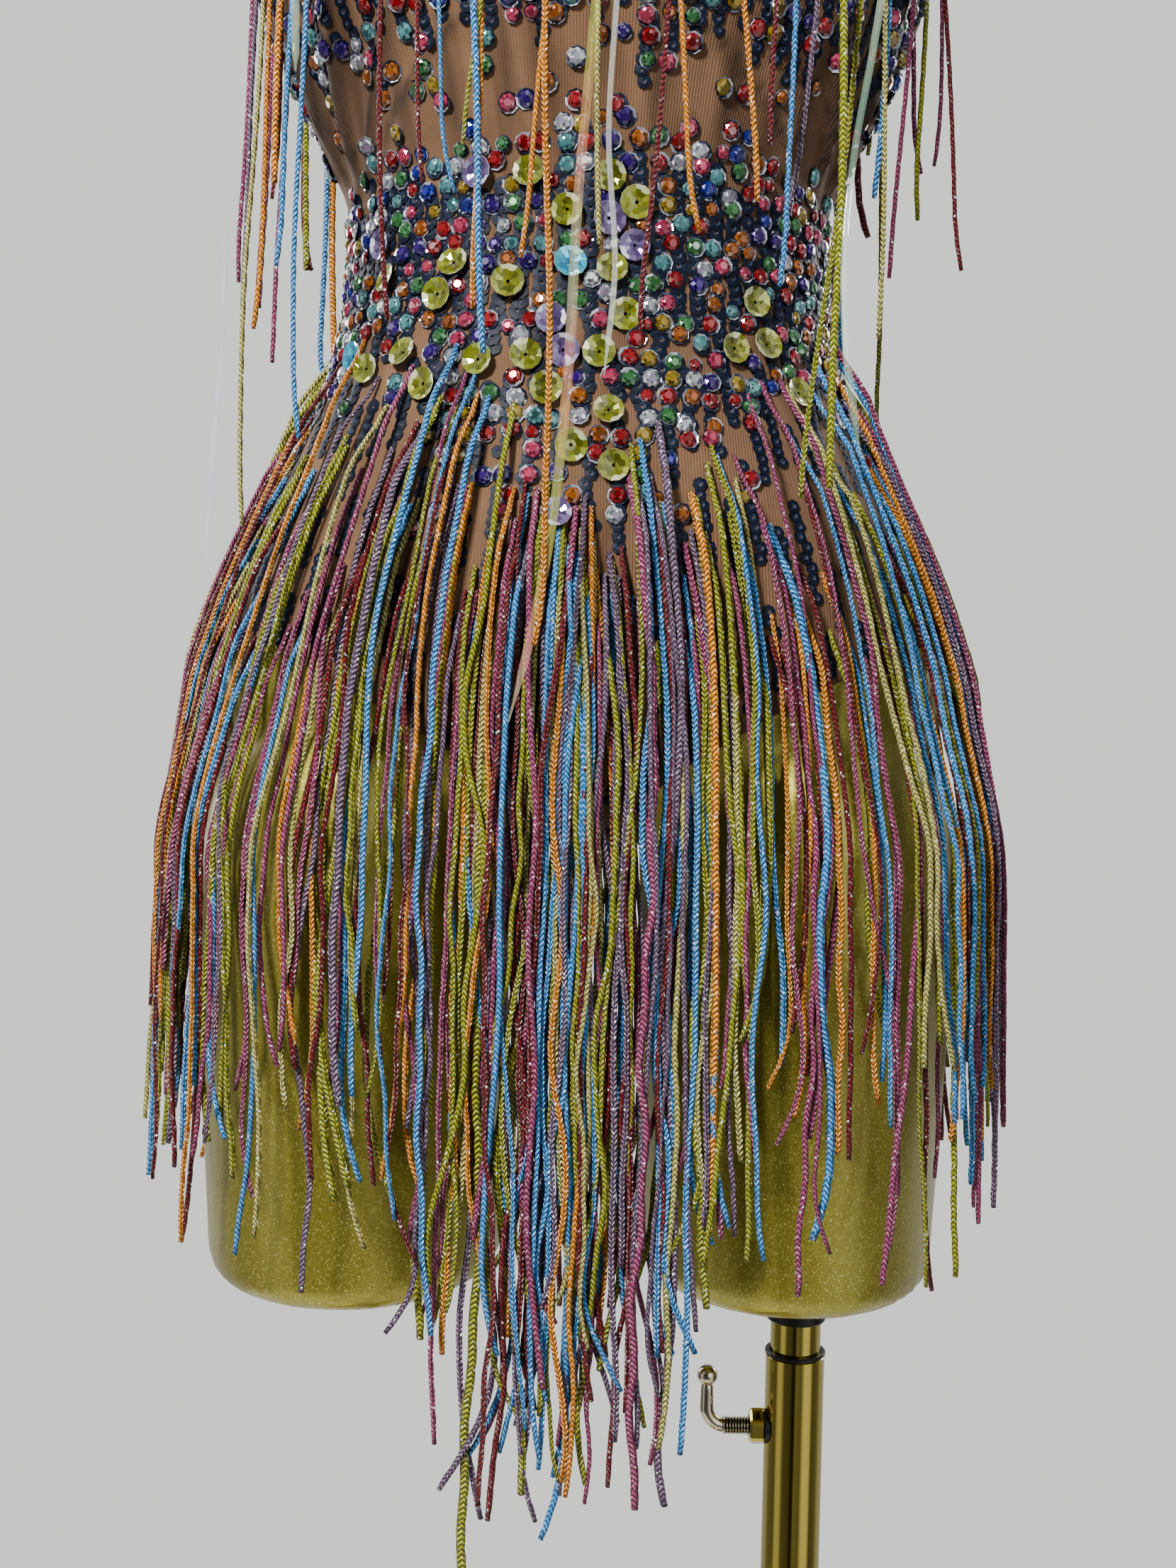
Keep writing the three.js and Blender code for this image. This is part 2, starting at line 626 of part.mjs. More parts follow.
// The round hole for the screw, from one distance to another off the pole's axis
function screwHole(near, far) {
  const radius = SCREW.threadRadius + SCREW_CLEARANCE;
  const geometry = new THREE.CylinderGeometry(radius, radius, far - near, 16);
  geometry.rotateZ(Math.PI / 2);
  geometry.translate(POLE_X - (near + far) / 2, 0, CLAMP_Z);
  return toSolid(geometry);
}

function buildClamp() {
  const nutInner = POLE_X - TUBE_RADIUS + 3;
  const length = nutInner - CLAMP_NUT.outerX;
  const nutRadius = CLAMP_NUT.acrossFlats / Math.sqrt(3);
  const blank = new THREE.CylinderGeometry(nutRadius, nutRadius, length, 6);
  blank.rotateZ(Math.PI / 2);
  blank.translate(CLAMP_NUT.outerX + length / 2, 0, CLAMP_Z);
  const tubeSpace = turnedSolid(TUBE_RADIUS + SMALL_GAP, CLAMP_Z - 20, CLAMP_Z + 20, POLE_X, 24);
  const nut = toSolid(blank)
    .subtract(tubeSpace)
    .subtract(screwHole(0, POLE_X - CLAMP_NUT.outerX + 1));
  addMesh('clamp_nut', toGeometry(nut), POLISHED_GOLD);

  const tip = POLE_X - MAST_RADIUS - SMALL_GAP;
  const threadOuter = CLAMP_NUT.outerX - 11;
  const thread = new THREE.CylinderGeometry(SCREW.threadRadius, SCREW.threadRadius, tip - threadOuter, 12);
  thread.rotateZ(Math.PI / 2);
  thread.translate((tip + threadOuter) / 2, 0, CLAMP_Z);
  const bend = SCREW_BEND_RADIUS;
  const path = new THREE.CurvePath();
  const corner = new THREE.Vector3(SCREW.bendX, 0, CLAMP_Z);
  const intoBend = corner.clone().setX(SCREW.bendX + bend);
  const outOfBend = corner.clone().setZ(CLAMP_Z + bend);
  path.add(new THREE.LineCurve3(new THREE.Vector3(threadOuter + 4, 0, CLAMP_Z), intoBend));
  path.add(new THREE.QuadraticBezierCurve3(intoBend, corner, outOfBend));
  path.add(new THREE.LineCurve3(outOfBend, corner.clone().setZ(SCREW.ballZ)));
  const section = new THREE.Shape();
  section.absarc(0, 0, SCREW.rodRadius, 0, 2 * Math.PI, false);
  const rod = new THREE.ExtrudeGeometry(section, {
    steps: 10, curveSegments: 4, bevelEnabled: false, extrudePath: path,
  });
  const ball = new THREE.SphereGeometry(SCREW.ballRadius, 12, 8);
  ball.translate(SCREW.bendX, 0, SCREW.ballZ);
  const screw = toSolid(thread).add(toSolid(rod)).add(toSolid(ball));
  addMesh('clamp_screw', toGeometry(screw), POLISHED_GOLD);
}

// The base: a round steel plate and a flange that holds the tube
function buildBase() {
  const { radius, thickness, edge } = PLATE;
  const plate = turned([
    [0, 0], [radius, 0], [radius, thickness - edge], [radius - edge, thickness], [0, thickness],
  ], 40);
  addMesh('base_plate', plate, POLISHED_GOLD);
  const low = thickness + SMALL_GAP;
  const bore = TUBE_RADIUS + SMALL_GAP;
  const foot = low + FLANGE.foot;
  const hub = FLANGE.hubRadius;
  const flange = turned([
    [bore, low], [FLANGE.radius, low], [FLANGE.radius, foot], [hub + 2, foot],
    [hub, foot + 2], [hub, FLANGE.top], [bore, FLANGE.top], [bore, low],
  ]);
  addMesh('base_flange', flange, POLISHED_GOLD, [POLE_X, 0, 0]);
}

buildDressForm();
buildBodysuit();
buildHipFringe();
buildChestFringe();
buildPole();
buildClamp();
buildBase();

export default group;
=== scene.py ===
"""Looks of a fringed rhinestone bodysuit on a limbless dress form with a pole stand.

Sizes are in millimetres up to mesh_object(), which turns them into metres.
The front faces -Y. An angle of 0 is the viewer's right side, and -90 degrees is the middle front.
"""

import math

import bmesh
import bpy
import numpy as np
from mathutils import Matrix, Vector


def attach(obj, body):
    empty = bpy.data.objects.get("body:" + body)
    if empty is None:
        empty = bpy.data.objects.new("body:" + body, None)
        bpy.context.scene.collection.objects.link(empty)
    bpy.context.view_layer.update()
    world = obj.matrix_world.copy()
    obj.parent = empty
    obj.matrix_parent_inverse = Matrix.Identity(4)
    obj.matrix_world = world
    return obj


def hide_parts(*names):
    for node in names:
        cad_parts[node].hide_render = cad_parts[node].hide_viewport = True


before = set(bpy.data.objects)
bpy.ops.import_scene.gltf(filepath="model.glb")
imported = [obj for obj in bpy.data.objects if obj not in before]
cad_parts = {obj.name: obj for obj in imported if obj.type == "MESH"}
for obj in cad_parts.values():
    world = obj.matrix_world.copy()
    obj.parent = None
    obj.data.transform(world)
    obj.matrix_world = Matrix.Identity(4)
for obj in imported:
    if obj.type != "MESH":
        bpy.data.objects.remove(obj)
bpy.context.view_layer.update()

MM = 0.001
FRONT = -math.pi / 2
RNG = np.random.default_rng(20)

# The figure, as in the solids: height, half width, front depth, back depth
FIGURE = np.array([
    (771, 6, 4, 5), (773, 58, 40, 46), (780, 100, 62, 74), (794, 133, 80, 96), (812, 148, 90, 108),
    (835, 151, 94, 113), (860, 144, 95, 112), (890, 132, 94, 106), (920, 118, 90, 97), (948, 106, 86, 88),
    (974, 99, 82, 80), (1003, 96, 80, 76), (1035, 97, 82, 78), (1060, 102, 86, 82), (1090, 113, 95, 87),
    (1124, 125, 106, 91), (1155, 134, 114, 93), (1187, 139, 118, 95), (1225, 144, 112, 98),
    (1266, 150, 101, 100), (1305, 156, 90, 98), (1332, 157, 82, 92), (1354, 148, 74, 84), (1371, 130, 66, 75),
    (1384, 104, 60, 67), (1395, 78, 56, 61), (1408, 61, 52, 56), (1446, 55, 49, 52),
], float)
SECTION_POWER = 2.15
BUST = {"z": 1187, "angle": 0.62, "rise": 15, "tall": 42, "wide": 0.4}
BUST_BRIDGE = {"z": 1215, "tall": 50, "gap": 1.3}
EASE = {"low": 1030, "high": 1182, "side": 10, "front": 3.5}
BODY_GAP = 1.0
CLOTH_WALL = 1.2
CLOTH_TOP = 1400
TRIM_TOP = 1392
ARM_PLATE_X = 152

# Sides of the blocks that cut the cloth and the form, past the outside of both
PAST_SIDE = 200
PAST_HALF = 210
PAST_FORM = 250
BELOW, ABOVE = 700, 1500

# Thigh stumps: height, middle, half width, half depth
THIGH = np.array([
    (587, 91, 52, 67), (588.2, 91, 56.5, 71.5), (591, 91, 60, 75), (596, 91, 61.6, 76.6), (604, 91, 62, 77.2),
    (690, 92.5, 64.5, 84), (765, 93, 65, 89), (800, 88, 60, 84), (835, 78, 44, 64),
], float)

# Openings of the bodysuit, in front view
LEG_FRONT = [(24, 740), (24, 764), (28, 790), (58, 814), (92, 833), (124, 848), (176, 858)]
LEG_BACK = [(24, 740), (24, 764), (34, 778), (70, 790), (104, 810), (134, 840), (176, 858)]
NECK = {"half_width": 66, "front_z": 1300, "back_z": 1352, "top_z": 1420}
ARMHOLE = {"x": 113, "far_x": 205, "z": 1322, "half_depth": 92, "half_height": 84}

# Where cords hang clear below the hips
HANG = {"half_width": 162, "front": 98.5, "back": 116.5, "power": 3.0}

# The stand
POLE_X = 98
CLAMP_Z = 516.3


# Shape functions

def smooth_rows(rows, heights):
    """Columns of a section table at any height, on a curve through its rows."""
    z = rows[:, 0]
    slopes = np.gradient(rows[:, 1:], z, axis=0)
    place = np.clip(np.searchsorted(z, heights) - 1, 0, len(z) - 2)
    step = z[place + 1] - z[place]
    share = np.clip((heights - z[place]) / step, 0, 1)[..., None]
    low, high = rows[place, 1:], rows[place + 1, 1:]
    slope_low = slopes[place] * step[..., None]
    slope_high = slopes[place + 1] * step[..., None]
    s2, s3 = share ** 2, share ** 3
    return ((2 * s3 - 3 * s2 + 1) * low + (s3 - 2 * s2 + share) * slope_low
            + (3 * s2 - 2 * s3) * high + (s3 - s2) * slope_high)


def bump(distance):
    return np.exp(-np.square(distance))


def smoothstep(low, high, value):
    share = np.clip((value - low) / (high - low), 0, 1)
    return share * share * (3 - 2 * share)


def signed_power(value, power):
    return np.sign(value) * np.abs(value) ** power


def from_front(angle):
    return np.arctan2(np.sin(angle - FRONT), np.cos(angle - FRONT))


def circle(count):
    """Even angles once round."""
    return np.linspace(0, 2 * math.pi, count, endpoint=False)


def unit(vectors):
    """The same directions with a length of 1."""
    return vectors / np.maximum(np.linalg.norm(vectors, axis=-1, keepdims=True), 1e-9)


def lengths_along(path):
    """Distance of each point of a path from its first."""
    return np.concatenate([[0], np.cumsum(np.linalg.norm(np.diff(path, axis=0), axis=1))])


def surface_steps(points_at, angle, z, turn, rise=1.5):
    """Short steps along a surface, sideways and upward."""
    along = points_at(angle + turn, z) - points_at(angle - turn, z)
    up = points_at(angle, z + rise) - points_at(angle, z - rise)
    return along, up


def figure_points(angle, z):
    """Points on the dress form's skin."""
    angle, z = np.broadcast_arrays(np.asarray(angle, float), np.asarray(z, float))
    wide, front, back = np.moveaxis(smooth_rows(FIGURE, z), -1, 0)
    depth = np.where(np.sin(angle) < 0, front, back)
    x = wide * signed_power(np.cos(angle), 2 / SECTION_POWER)
    y = depth * signed_power(np.sin(angle), 2 / SECTION_POWER)
    aside = np.abs(from_front(angle))
    rise = BUST["rise"] * bump((z - BUST["z"]) / BUST["tall"]) * bump((aside - BUST["angle"]) / BUST["wide"])
    y = y - np.where(aside < math.pi / 2, rise, 0)
    return np.stack([x, y, z], -1)


def figure_normals(angle, z):
    return unit(np.cross(*surface_steps(figure_points, angle, z, 0.01)))


# Drag folds of the loose cloth above the waist, on each side: seam angle at the waist and at the top,
# height of the waist end and of the top end, rise and half width in radians
DRAG_FOLDS = [
    (0.02, -0.10, 1018, 1150, 2.2, 0.050),
    (0.13, 0.22, 1012, 1148, 3.6, 0.045),
    (0.24, 0.50, 1010, 1140, 4.2, 0.050),
    (0.30, 0.36, 1026, 1110, 2.4, 0.028),
    (0.38, 0.84, 1014, 1120, 3.4, 0.045),
    (0.46, 0.66, 1022, 1106, 1.8, 0.026),
    (0.52, 1.10, 1020, 1098, 2.2, 0.038),
    (0.66, 1.34, 1030, 1084, 1.4, 0.034),
]
# Faint upright creases in the bare band under the bust: angle off the middle, low end, high end, rise
BAND_CREASES = [
    (-0.74, 1024, 1080, 1.2), (-0.52, 1030, 1078, 1.3), (-0.31, 1036, 1084, 1.0), (0.18, 1034, 1076, 0.8),
    (0.44, 1026, 1082, 1.3), (0.66, 1034, 1074, 1.0), (0.81, 1026, 1086, 1.2),
]


def fold_lines(angle, z):
    """Rise of the creases, and how far a place lies in the shade of their hollows."""
    seam = np.arcsin(np.clip(np.abs(np.sin(angle)), 0, 1))
    mirror = np.where(np.cos(angle) > 0, 1.0, 0.93)
    folds, shade = 0.0, 0.0
    for waist, top, low_z, high_z, rise, wide in DRAG_FOLDS:
        up = (z - low_z) / (high_z - low_z)
        centre = (waist + (top - waist) * np.clip(up, 0, 1.2) ** 1.15) * mirror
        strength = smoothstep(0, 0.3, up) * (1 - smoothstep(0.75, 1.1, up))
        half = wide * (0.55 + 0.6 * np.clip(up, 0, 1))
        folds = folds + rise * strength * bump((seam - centre) / half)
        shade = shade + strength * bump((seam - centre - 1.1 * half) / (0.8 * half))
    for middle_angle, low_z, high_z, rise in BAND_CREASES:
        length = bump((z - (low_z + high_z) / 2) / ((high_z - low_z) / 2.2))
        aside = from_front(angle) - middle_angle
        folds = folds + rise * length * bump(aside / 0.03)
        shade = shade + 0.8 * length * bump((aside - 0.04) / 0.03)
    return folds, np.clip(shade, 0, 1)


def cloth_gap(angle, z):
    """How far the inside of the cloth stands off the dress form."""
    middle = (EASE["low"] + EASE["high"]) / 2
    half = (EASE["high"] - EASE["low"]) / 2
    share = np.maximum(0, 1 - ((z - middle) / half) ** 2)
    ease = share * (EASE["front"] + (EASE["side"] - EASE["front"]) * np.cos(angle) ** 2)
    bridge = BUST_BRIDGE["gap"] * bump((z - BUST_BRIDGE["z"]) / BUST_BRIDGE["tall"])
    return BODY_GAP + bridge + ease + fold_lines(angle, z)[0]


def cloth_points(angle, z, lift=0.0):
    """Points off the cloth's outer face by a lift."""
    angle, z = np.broadcast_arrays(np.asarray(angle, float), np.asarray(z, float))
    out = cloth_gap(angle, z) + CLOTH_WALL + lift
    return figure_points(angle, z) + figure_normals(angle, z) * out[..., None]


def cloth_frames(angle, z):
    """Outward, sideways and upward directions of the cloth at given places."""
    along, up = surface_steps(cloth_points, angle, z, 0.012)
    out, along = unit(np.cross(along, up)), unit(along)
    return out, along, np.cross(out, along)


def leg_limit(x, opening):
    """Lowest height of the cloth at a distance from the middle."""
    across, up = np.transpose(opening)
    return np.interp(x, across, up)


def on_cloth(points, margin):
    """True where a place on the body is covered by the bodysuit, at least a margin inside its edges."""
    x, y, z = np.moveaxis(points, -1, 0)
    low = np.where(y > 0, leg_limit(np.abs(x) + margin, LEG_BACK), leg_limit(np.abs(x) + margin, LEG_FRONT))
    covered = (z > low + margin) & (z > FIGURE[0, 0])
    bottom = np.where(y > 0, NECK["back_z"], NECK["front_z"])
    neck = (x / NECK["half_width"]) ** 2 + ((z - NECK["top_z"]) / (NECK["top_z"] - bottom + margin)) ** 2
    arm = (y / (ARMHOLE["half_depth"] + margin)) ** 2
    arm = arm + ((z - ARMHOLE["z"]) / (ARMHOLE["half_height"] + margin)) ** 2
    covered &= (neck > 1.02) & ~((arm < 1) & (np.abs(x) > ARMHOLE["x"] - margin)) & (z < TRIM_TOP)
    return covered


# Mesh helpers

def mesh_object(name, points, faces, smooth=True, corner_uv=None, face_values=None):
    """A mesh object from arrays in millimetres. corner_uv has a row for each corner of each face."""
    mesh = bpy.data.meshes.new(name)
    mesh.from_pydata([tuple(p) for p in np.asarray(points, float) * MM], [], [tuple(f) for f in faces])
    shade_smooth(mesh, smooth)
    if corner_uv is not None:
        layer = mesh.uv_layers.new(name="along")
        layer.data.foreach_set("uv", np.asarray(corner_uv, np.float32).ravel())
    for key, values in (face_values or {}).items():
        attribute = mesh.attributes.new(key, "FLOAT", "FACE")
        attribute.data.foreach_set("value", np.asarray(values, np.float32))
    mesh.update()
    return new_object(name, mesh)


def new_object(name, data):
    obj = bpy.data.objects.new(name, data)
    bpy.context.scene.collection.objects.link(obj)
    return obj


def shade_smooth(mesh, smooth=True):
    mesh.polygons.foreach_set("use_smooth", np.full(len(mesh.polygons), smooth))


def edge_normals(obj, angle=35):
    """Smooth shading with crisp edges where the faces turn sharply."""
    obj.data.set_sharp_from_angle(angle=math.radians(angle))


def polar(radius, count, height, start=0.0, x=0.0):
    """A level ring of points."""
    turn = start + circle(count)
    return np.stack([radius * np.cos(turn) + x, radius * np.sin(turn), np.full(count, height)], -1)


def tube_rings(radius, low, high, x, sides):
    return np.stack([polar(radius, sides, height, x=x) for height in (low, high)])


def ring_faces(rows, columns, start=0):
    """Quads of a grid of rings, one ring after another."""
    r = np.arange(rows - 1)[:, None] * columns
    c = np.arange(columns)[None, :]
    n = (c + 1) % columns
    quads = np.stack([r + c, r + n, r + columns + n, r + columns + c], -1)
    return quads.reshape(-1, 4) + start


def loft(name, rings):
    """A closed loft through rings of points, given from the bottom up."""
    rows, columns = rings.shape[:2]
    points = np.concatenate([rings.reshape(-1, 3), rings[0].mean(0)[None], rings[-1].mean(0)[None]])
    faces = list(ring_faces(rows, columns))
    bottom, top, last = rows * columns, rows * columns + 1, (rows - 1) * columns
    for c in range(columns):
        n = (c + 1) % columns
        faces.append((bottom, n, c))
        faces.append((top, last + c, last + n))
    return mesh_object(name, points, faces)


def apply_modifier(obj, kind, **settings):
    modifier = obj.modifiers.new(kind.lower(), kind)
    for key, value in settings.items():
        setattr(modifier, key, value)
    bpy.context.view_layer.objects.active = obj
    bpy.ops.object.modifier_apply(modifier=modifier.name)


def paint(obj, mat):
    """One material for the whole piece."""
    obj.data.materials.clear()
    obj.data.materials.append(mat)
    obj.data.polygons.foreach_set("material_index", np.zeros(len(obj.data.polygons), np.int32))


def remove(obj):
    bpy.data.objects.remove(obj, do_unlink=True)


def cut(obj, cutter, operation="DIFFERENCE"):
    apply_modifier(obj, "BOOLEAN", object=cutter, operation=operation, solver="MANIFOLD")
    remove(cutter)


def prism(name, outline, low_y, high_y):
    """A closed prism along Y from an outline in front view."""
    outline = np.asarray(outline, float)
    count = len(outline)
    near = np.stack([outline[:, 0], np.full(count, low_y), outline[:, 1]], -1)
    far = np.stack([outline[:, 0], np.full(count, high_y), outline[:, 1]], -1)
    faces = [tuple(range(count)), tuple(range(2 * count - 1, count - 1, -1))]
    for c in range(count):
        n = (c + 1) % count
        faces.append((n, c, count + c, count + n))
    obj = mesh_object(name, np.concatenate([near, far]), faces, False)
    outward(obj)
    return obj


def block(name, half_width, low_z, low_y, high_y):
    """A block from a low height to above the figure."""
    outline = [(-half_width, low_z), (half_width, low_z), (half_width, ABOVE), (-half_width, ABOVE)]
    return prism(name, outline, low_y, high_y)


def outward(obj):
    """Turns every face of a closed mesh outward."""
    work = bmesh.new()
    work.from_mesh(obj.data)
    bmesh.ops.recalc_face_normals(work, faces=work.faces)
    work.to_mesh(obj.data)
    work.free()


def curve_through(points, count):
    """A smooth polyline through given points."""
    points = np.asarray(points, float)
    places = lengths_along(points)
    where = np.linspace(0, places[-1], count)
    return smooth_rows(np.column_stack([places, points]), where)


# Materials

def material(name, color, roughness, metallic=0.0, **sockets):
    """A new material, and the calls that add nodes to it."""
    mat = bpy.data.materials.new(name)
    mat.use_nodes = True
    shader = mat.node_tree.nodes["Principled BSDF"]
    shader.inputs["Base Color"].default_value = (*color, 1)
    shader.inputs["Roughness"].default_value = roughness
    shader.inputs["Metallic"].default_value = metallic
    for key, value in sockets.items():
        shader.inputs[key.replace("_", " ")].default_value = value
    return mat, Nodes(mat.node_tree)


def toned(color, factor, extra=0.0):
    """A colour made lighter or darker."""
    return tuple(min(1.0, c * factor + extra) for c in color)


class Nodes:
    """Short calls to add and link shader nodes."""

    def __init__(self, tree):
        self.tree = tree
        self.shader = tree.nodes.get("Principled BSDF")

    def add(self, kind, settings=None, **inputs):
        node = self.tree.nodes.new(kind)
        for key, value in (settings or {}).items():
            setattr(node, key, value)
        for key, value in inputs.items():
            self.put(node.inputs[key.replace("_", " ")], value)
        return node

    def put(self, socket, value):
        if isinstance(value, bpy.types.NodeSocket):
            self.tree.links.new(value, socket)
        else:
            socket.default_value = value

    def math(self, operation, *values):
        node = self.add("ShaderNodeMath", {"operation": operation})
        for place, value in enumerate(values):
            self.put(node.inputs[place], value)
        return node.outputs[0]

    def mix(self, share, first, second, blend="MIX"):
        node = self.add("ShaderNodeMix", {"data_type": "RGBA", "blend_type": blend})
        self.put(node.inputs[0], share)
        self.put(node.inputs[6], first)
        self.put(node.inputs[7], second)
        return node.outputs[2]

    def times(self, first, second):
        return self.mix(1.0, first, second, "MULTIPLY")

    def ramp(self, value, stops):
        """A colour ramp, in which a single number stands for a grey."""
        node = self.add("ShaderNodeValToRGB")
        self.put(node.inputs[0], value)
        elements = node.color_ramp.elements
        while len(elements) < len(stops):
            elements.new(0.5)
        for element, (place, color) in zip(elements, stops):
            element.position = place
            element.color = (*color, 1) if isinstance(color, tuple) else (color, color, color, 1)
        return node.outputs[0]

    def grey(self, value):
        return self.add("ShaderNodeCombineColor", Red=value, Green=value, Blue=value).outputs[0]

    def noise(self, scale, detail, place, roughness=0.5):
        node = self.add("ShaderNodeTexNoise", Scale=scale, Detail=detail, Roughness=roughness, Vector=place)
        return node.outputs[0]

    def cells(self, scale, place):
        """Distance from the middle of random cells, and two random values of each cell."""
        cell = self.add("ShaderNodeTexVoronoi", Scale=scale, Vector=place)
        value = self.add("ShaderNodeSeparateColor", Color=cell.outputs["Color"])
        return cell.outputs["Distance"], value.outputs[0], value.outputs[1]

    def place(self):
        return self.add("ShaderNodeTexCoord").outputs["Object"]

    def attribute(self, name):
        return self.add("ShaderNodeAttribute", {"attribute_name": name}).outputs["Fac"]

    def along(self):
        """Coordinates across a piece and along it."""
        uv = self.add("ShaderNodeUVMap", {"uv_map": "along"}).outputs[0]
        split = self.add("ShaderNodeSeparateXYZ", Vector=uv)
        return split.outputs[0], split.outputs[1]

    def bump(self, height, strength, distance):
        node = self.add("ShaderNodeBump", Height=height, Strength=strength, Distance=distance)
        self.tree.links.new(node.outputs[0], self.shader.inputs["Normal"])

    def color(self, value):
        self.put(self.shader.inputs["Base Color"], value)

    def roughness(self, value):
        self.put(self.shader.inputs["Roughness"], value)

    def clouded(self, tint, scale, darkest, start=0.3, end=0.7):
        """Takes a tint with faint darker clouds as the base colour."""
        cloud = self.ramp(self.noise(scale, 2.0, self.place()), [(start, darkest), (end, 1.0)])
        self.color(self.times(tint, cloud))


def flake_gold():
    """Champagne gold paint full of fine metal flakes."""
    mat, n = material("champagne_flake_paint", (0.27, 0.24, 0.03), 0.34, 0.75, Coat_Weight=0.3,
                      Coat_Roughness=0.15)
    where = n.place()
    _, value, _ = n.cells(2500.0, where)
    tone = n.ramp(value, [(0.0, (0.21, 0.18, 0.016)), (0.7, (0.27, 0.24, 0.03)), (0.94, (0.35, 0.315, 0.055)),
                          (1.0, (0.74, 0.66, 0.22))])
    cloud = n.ramp(n.noise(6.0, 4.0, where), [(0.3, (0.90, 0.90, 0.84)), (0.7, (1.05, 1.05, 1.0))])
    n.color(n.times(tone, cloud))
    n.roughness(n.math("MULTIPLY_ADD", value, 0.14, 0.28))
    n.bump(value, 0.05, 0.0003)
    return mat


# Spacing of the mesh's ribs and courses
RIB_PITCH = 1.15
COURSE_PITCH = 0.75


def nude_mesh():
    """Nude mesh with fine upright ribs and cross courses, with painted shade in the hollows of the creases.
    """
    mat, n = material("nude_power_mesh", (0.13, 0.066, 0.031), 0.75, 0.0, Sheen_Weight=0.06,
                      Sheen_Roughness=0.5, Specular_IOR_Level=0.25)
    across, up = n.along()
    rib = n.math("SINE", n.math("MULTIPLY", across, 2 * math.pi / RIB_PITCH))
    course = n.math("SINE", n.math("MULTIPLY", up, 2 * math.pi / COURSE_PITCH))
    cloud = n.noise(38.0, 5.0, n.place(), 0.6)
    tone = n.ramp(cloud, [(0.3, (0.096, 0.048, 0.021)), (0.55, (0.13, 0.066, 0.031)),
                          (0.8, (0.165, 0.087, 0.042))])
    # Painted shade: the cloth is darkened where the creases' hollows would lie in shadow
    crease_shading = n.math("MULTIPLY_ADD", n.attribute("crease"), -0.72, 1.0)
    shade = n.math("MULTIPLY", n.math("MULTIPLY_ADD", rib, 0.10, 0.92), crease_shading)
    n.color(n.times(tone, n.grey(shade)))
    weave = n.math("MULTIPLY_ADD", course, 0.35, rib)
    n.bump(weave, 0.45, 0.00022)
    return mat


CORD_COLOURS = {
    "lime": (0.27, 0.285, 0.0),
    "sky": (0.045, 0.29, 0.70),
    "mauve": (0.29, 0.042, 0.125),
    "dusk": (0.15, 0.09, 0.16),
    "burgundy": (0.13, 0.0, 0.003),
    "orange": (0.76, 0.25, 0.0),
    "cream": (0.48, 0.44, 0.11),
}
BRAID = {"stitch": 2.0, "slant": 1.7}


def cord_material(name, color):
    """A satin braid: rows of slanting stitches that meet in a V, with painted shade in the grooves, painted
    highlights and pale painted glints on the stitch tops, and loose glitter whose specks are painted near
    white like sparkles.
    """
    mat, n = material(f"cord_{name}", color, 0.34, 0.12, Sheen_Weight=0.04, Sheen_Roughness=0.4,
                      Specular_IOR_Level=0.3)
    around, length = n.along()
    vee = n.math("ABSOLUTE", n.math("SUBTRACT", n.math("FRACT", n.math("MULTIPLY", around, 2.0)), 0.5))
    phase = n.math("ADD", n.math("DIVIDE", length, BRAID["stitch"]), n.math("MULTIPLY", vee, BRAID["slant"]))
    wave = n.math("SINE", n.math("MULTIPLY", phase, 2 * math.pi))
    groove = n.math("SMOOTH_MIN", n.math("MULTIPLY", vee, 9.0), 1.0, 0.3)
    ridge = n.math("MULTIPLY", n.math("MULTIPLY_ADD", wave, 0.5, 0.5), groove)
    # Painted shade in the grooves between stitches, and painted highlights on the stitch tops
    body = n.ramp(ridge, [(0.0, toned(color, 0.13)), (0.3, toned(color, 0.8)), (0.65, color),
                          (1.0, toned(color, 1.25, 0.01))])
    distance, fleck_value, glint_value = n.cells(950.0, n.place())
    # Painted glints: some stitch tops are turned pale as if catching the light
    painted_glint = n.math("MULTIPLY", n.math("GREATER_THAN", glint_value, 0.80), n.math("GREATER_THAN", ridge, 0.7))
    body = n.mix(painted_glint, body, (*toned(color, 1.3, 0.16), 1))
    # Loose glitter, its specks painted near white as if catching the light
    glitter_glint = n.math("MULTIPLY", n.math("GREATER_THAN", fleck_value, 0.955),
                   n.math("LESS_THAN", distance, 0.42))
    n.color(n.mix(glitter_glint, body, (0.93, 0.95, 0.97, 1)))
    n.roughness(n.math("MULTIPLY_ADD", ridge, -0.12, 0.42))
    n.bump(ridge, 1.0, 0.0007)
    return mat


def gem_material(name, color):
    """Foil-backed faceted glass: each facet is painted lighter or darker as if lit, from a dark girdle to
    pale painted highlights.
    """
    mat, n = material(f"gem_{name}", color, 0.12, 0.35, Coat_Weight=0.6, Coat_Roughness=0.03,
                      Specular_IOR_Level=0.3)
    # Painted light and shade by facet: dark at the girdle, lighter and pale facets as highlights
    tint = n.ramp(n.attribute("facet"), [(0.15, toned(color, 0.12)), (0.55, color),
                                         (0.88, toned(color, 1.35, 0.01)), (1.0, toned(color, 0.9, 0.2))])
    n.clouded(tint, 700.0, 0.78, 0.35, 0.65)
    return mat


def rainbow_material(name, stops, roughness, metallic, alpha=1.0):
    """A coated film whose tint drifts from facet to facet; on stones and sequins its dark and pale tints are
    painted shade and painted highlights.
    """
    mat, n = material(name, stops[0], roughness, metallic, Coat_Weight=1.0, Coat_Roughness=0.04, Alpha=alpha)
    places = np.linspace(0.05, 0.95, len(stops))
    n.clouded(n.ramp(n.attribute("facet"), list(zip(places, stops))), 420.0, 0.88)
    return mat


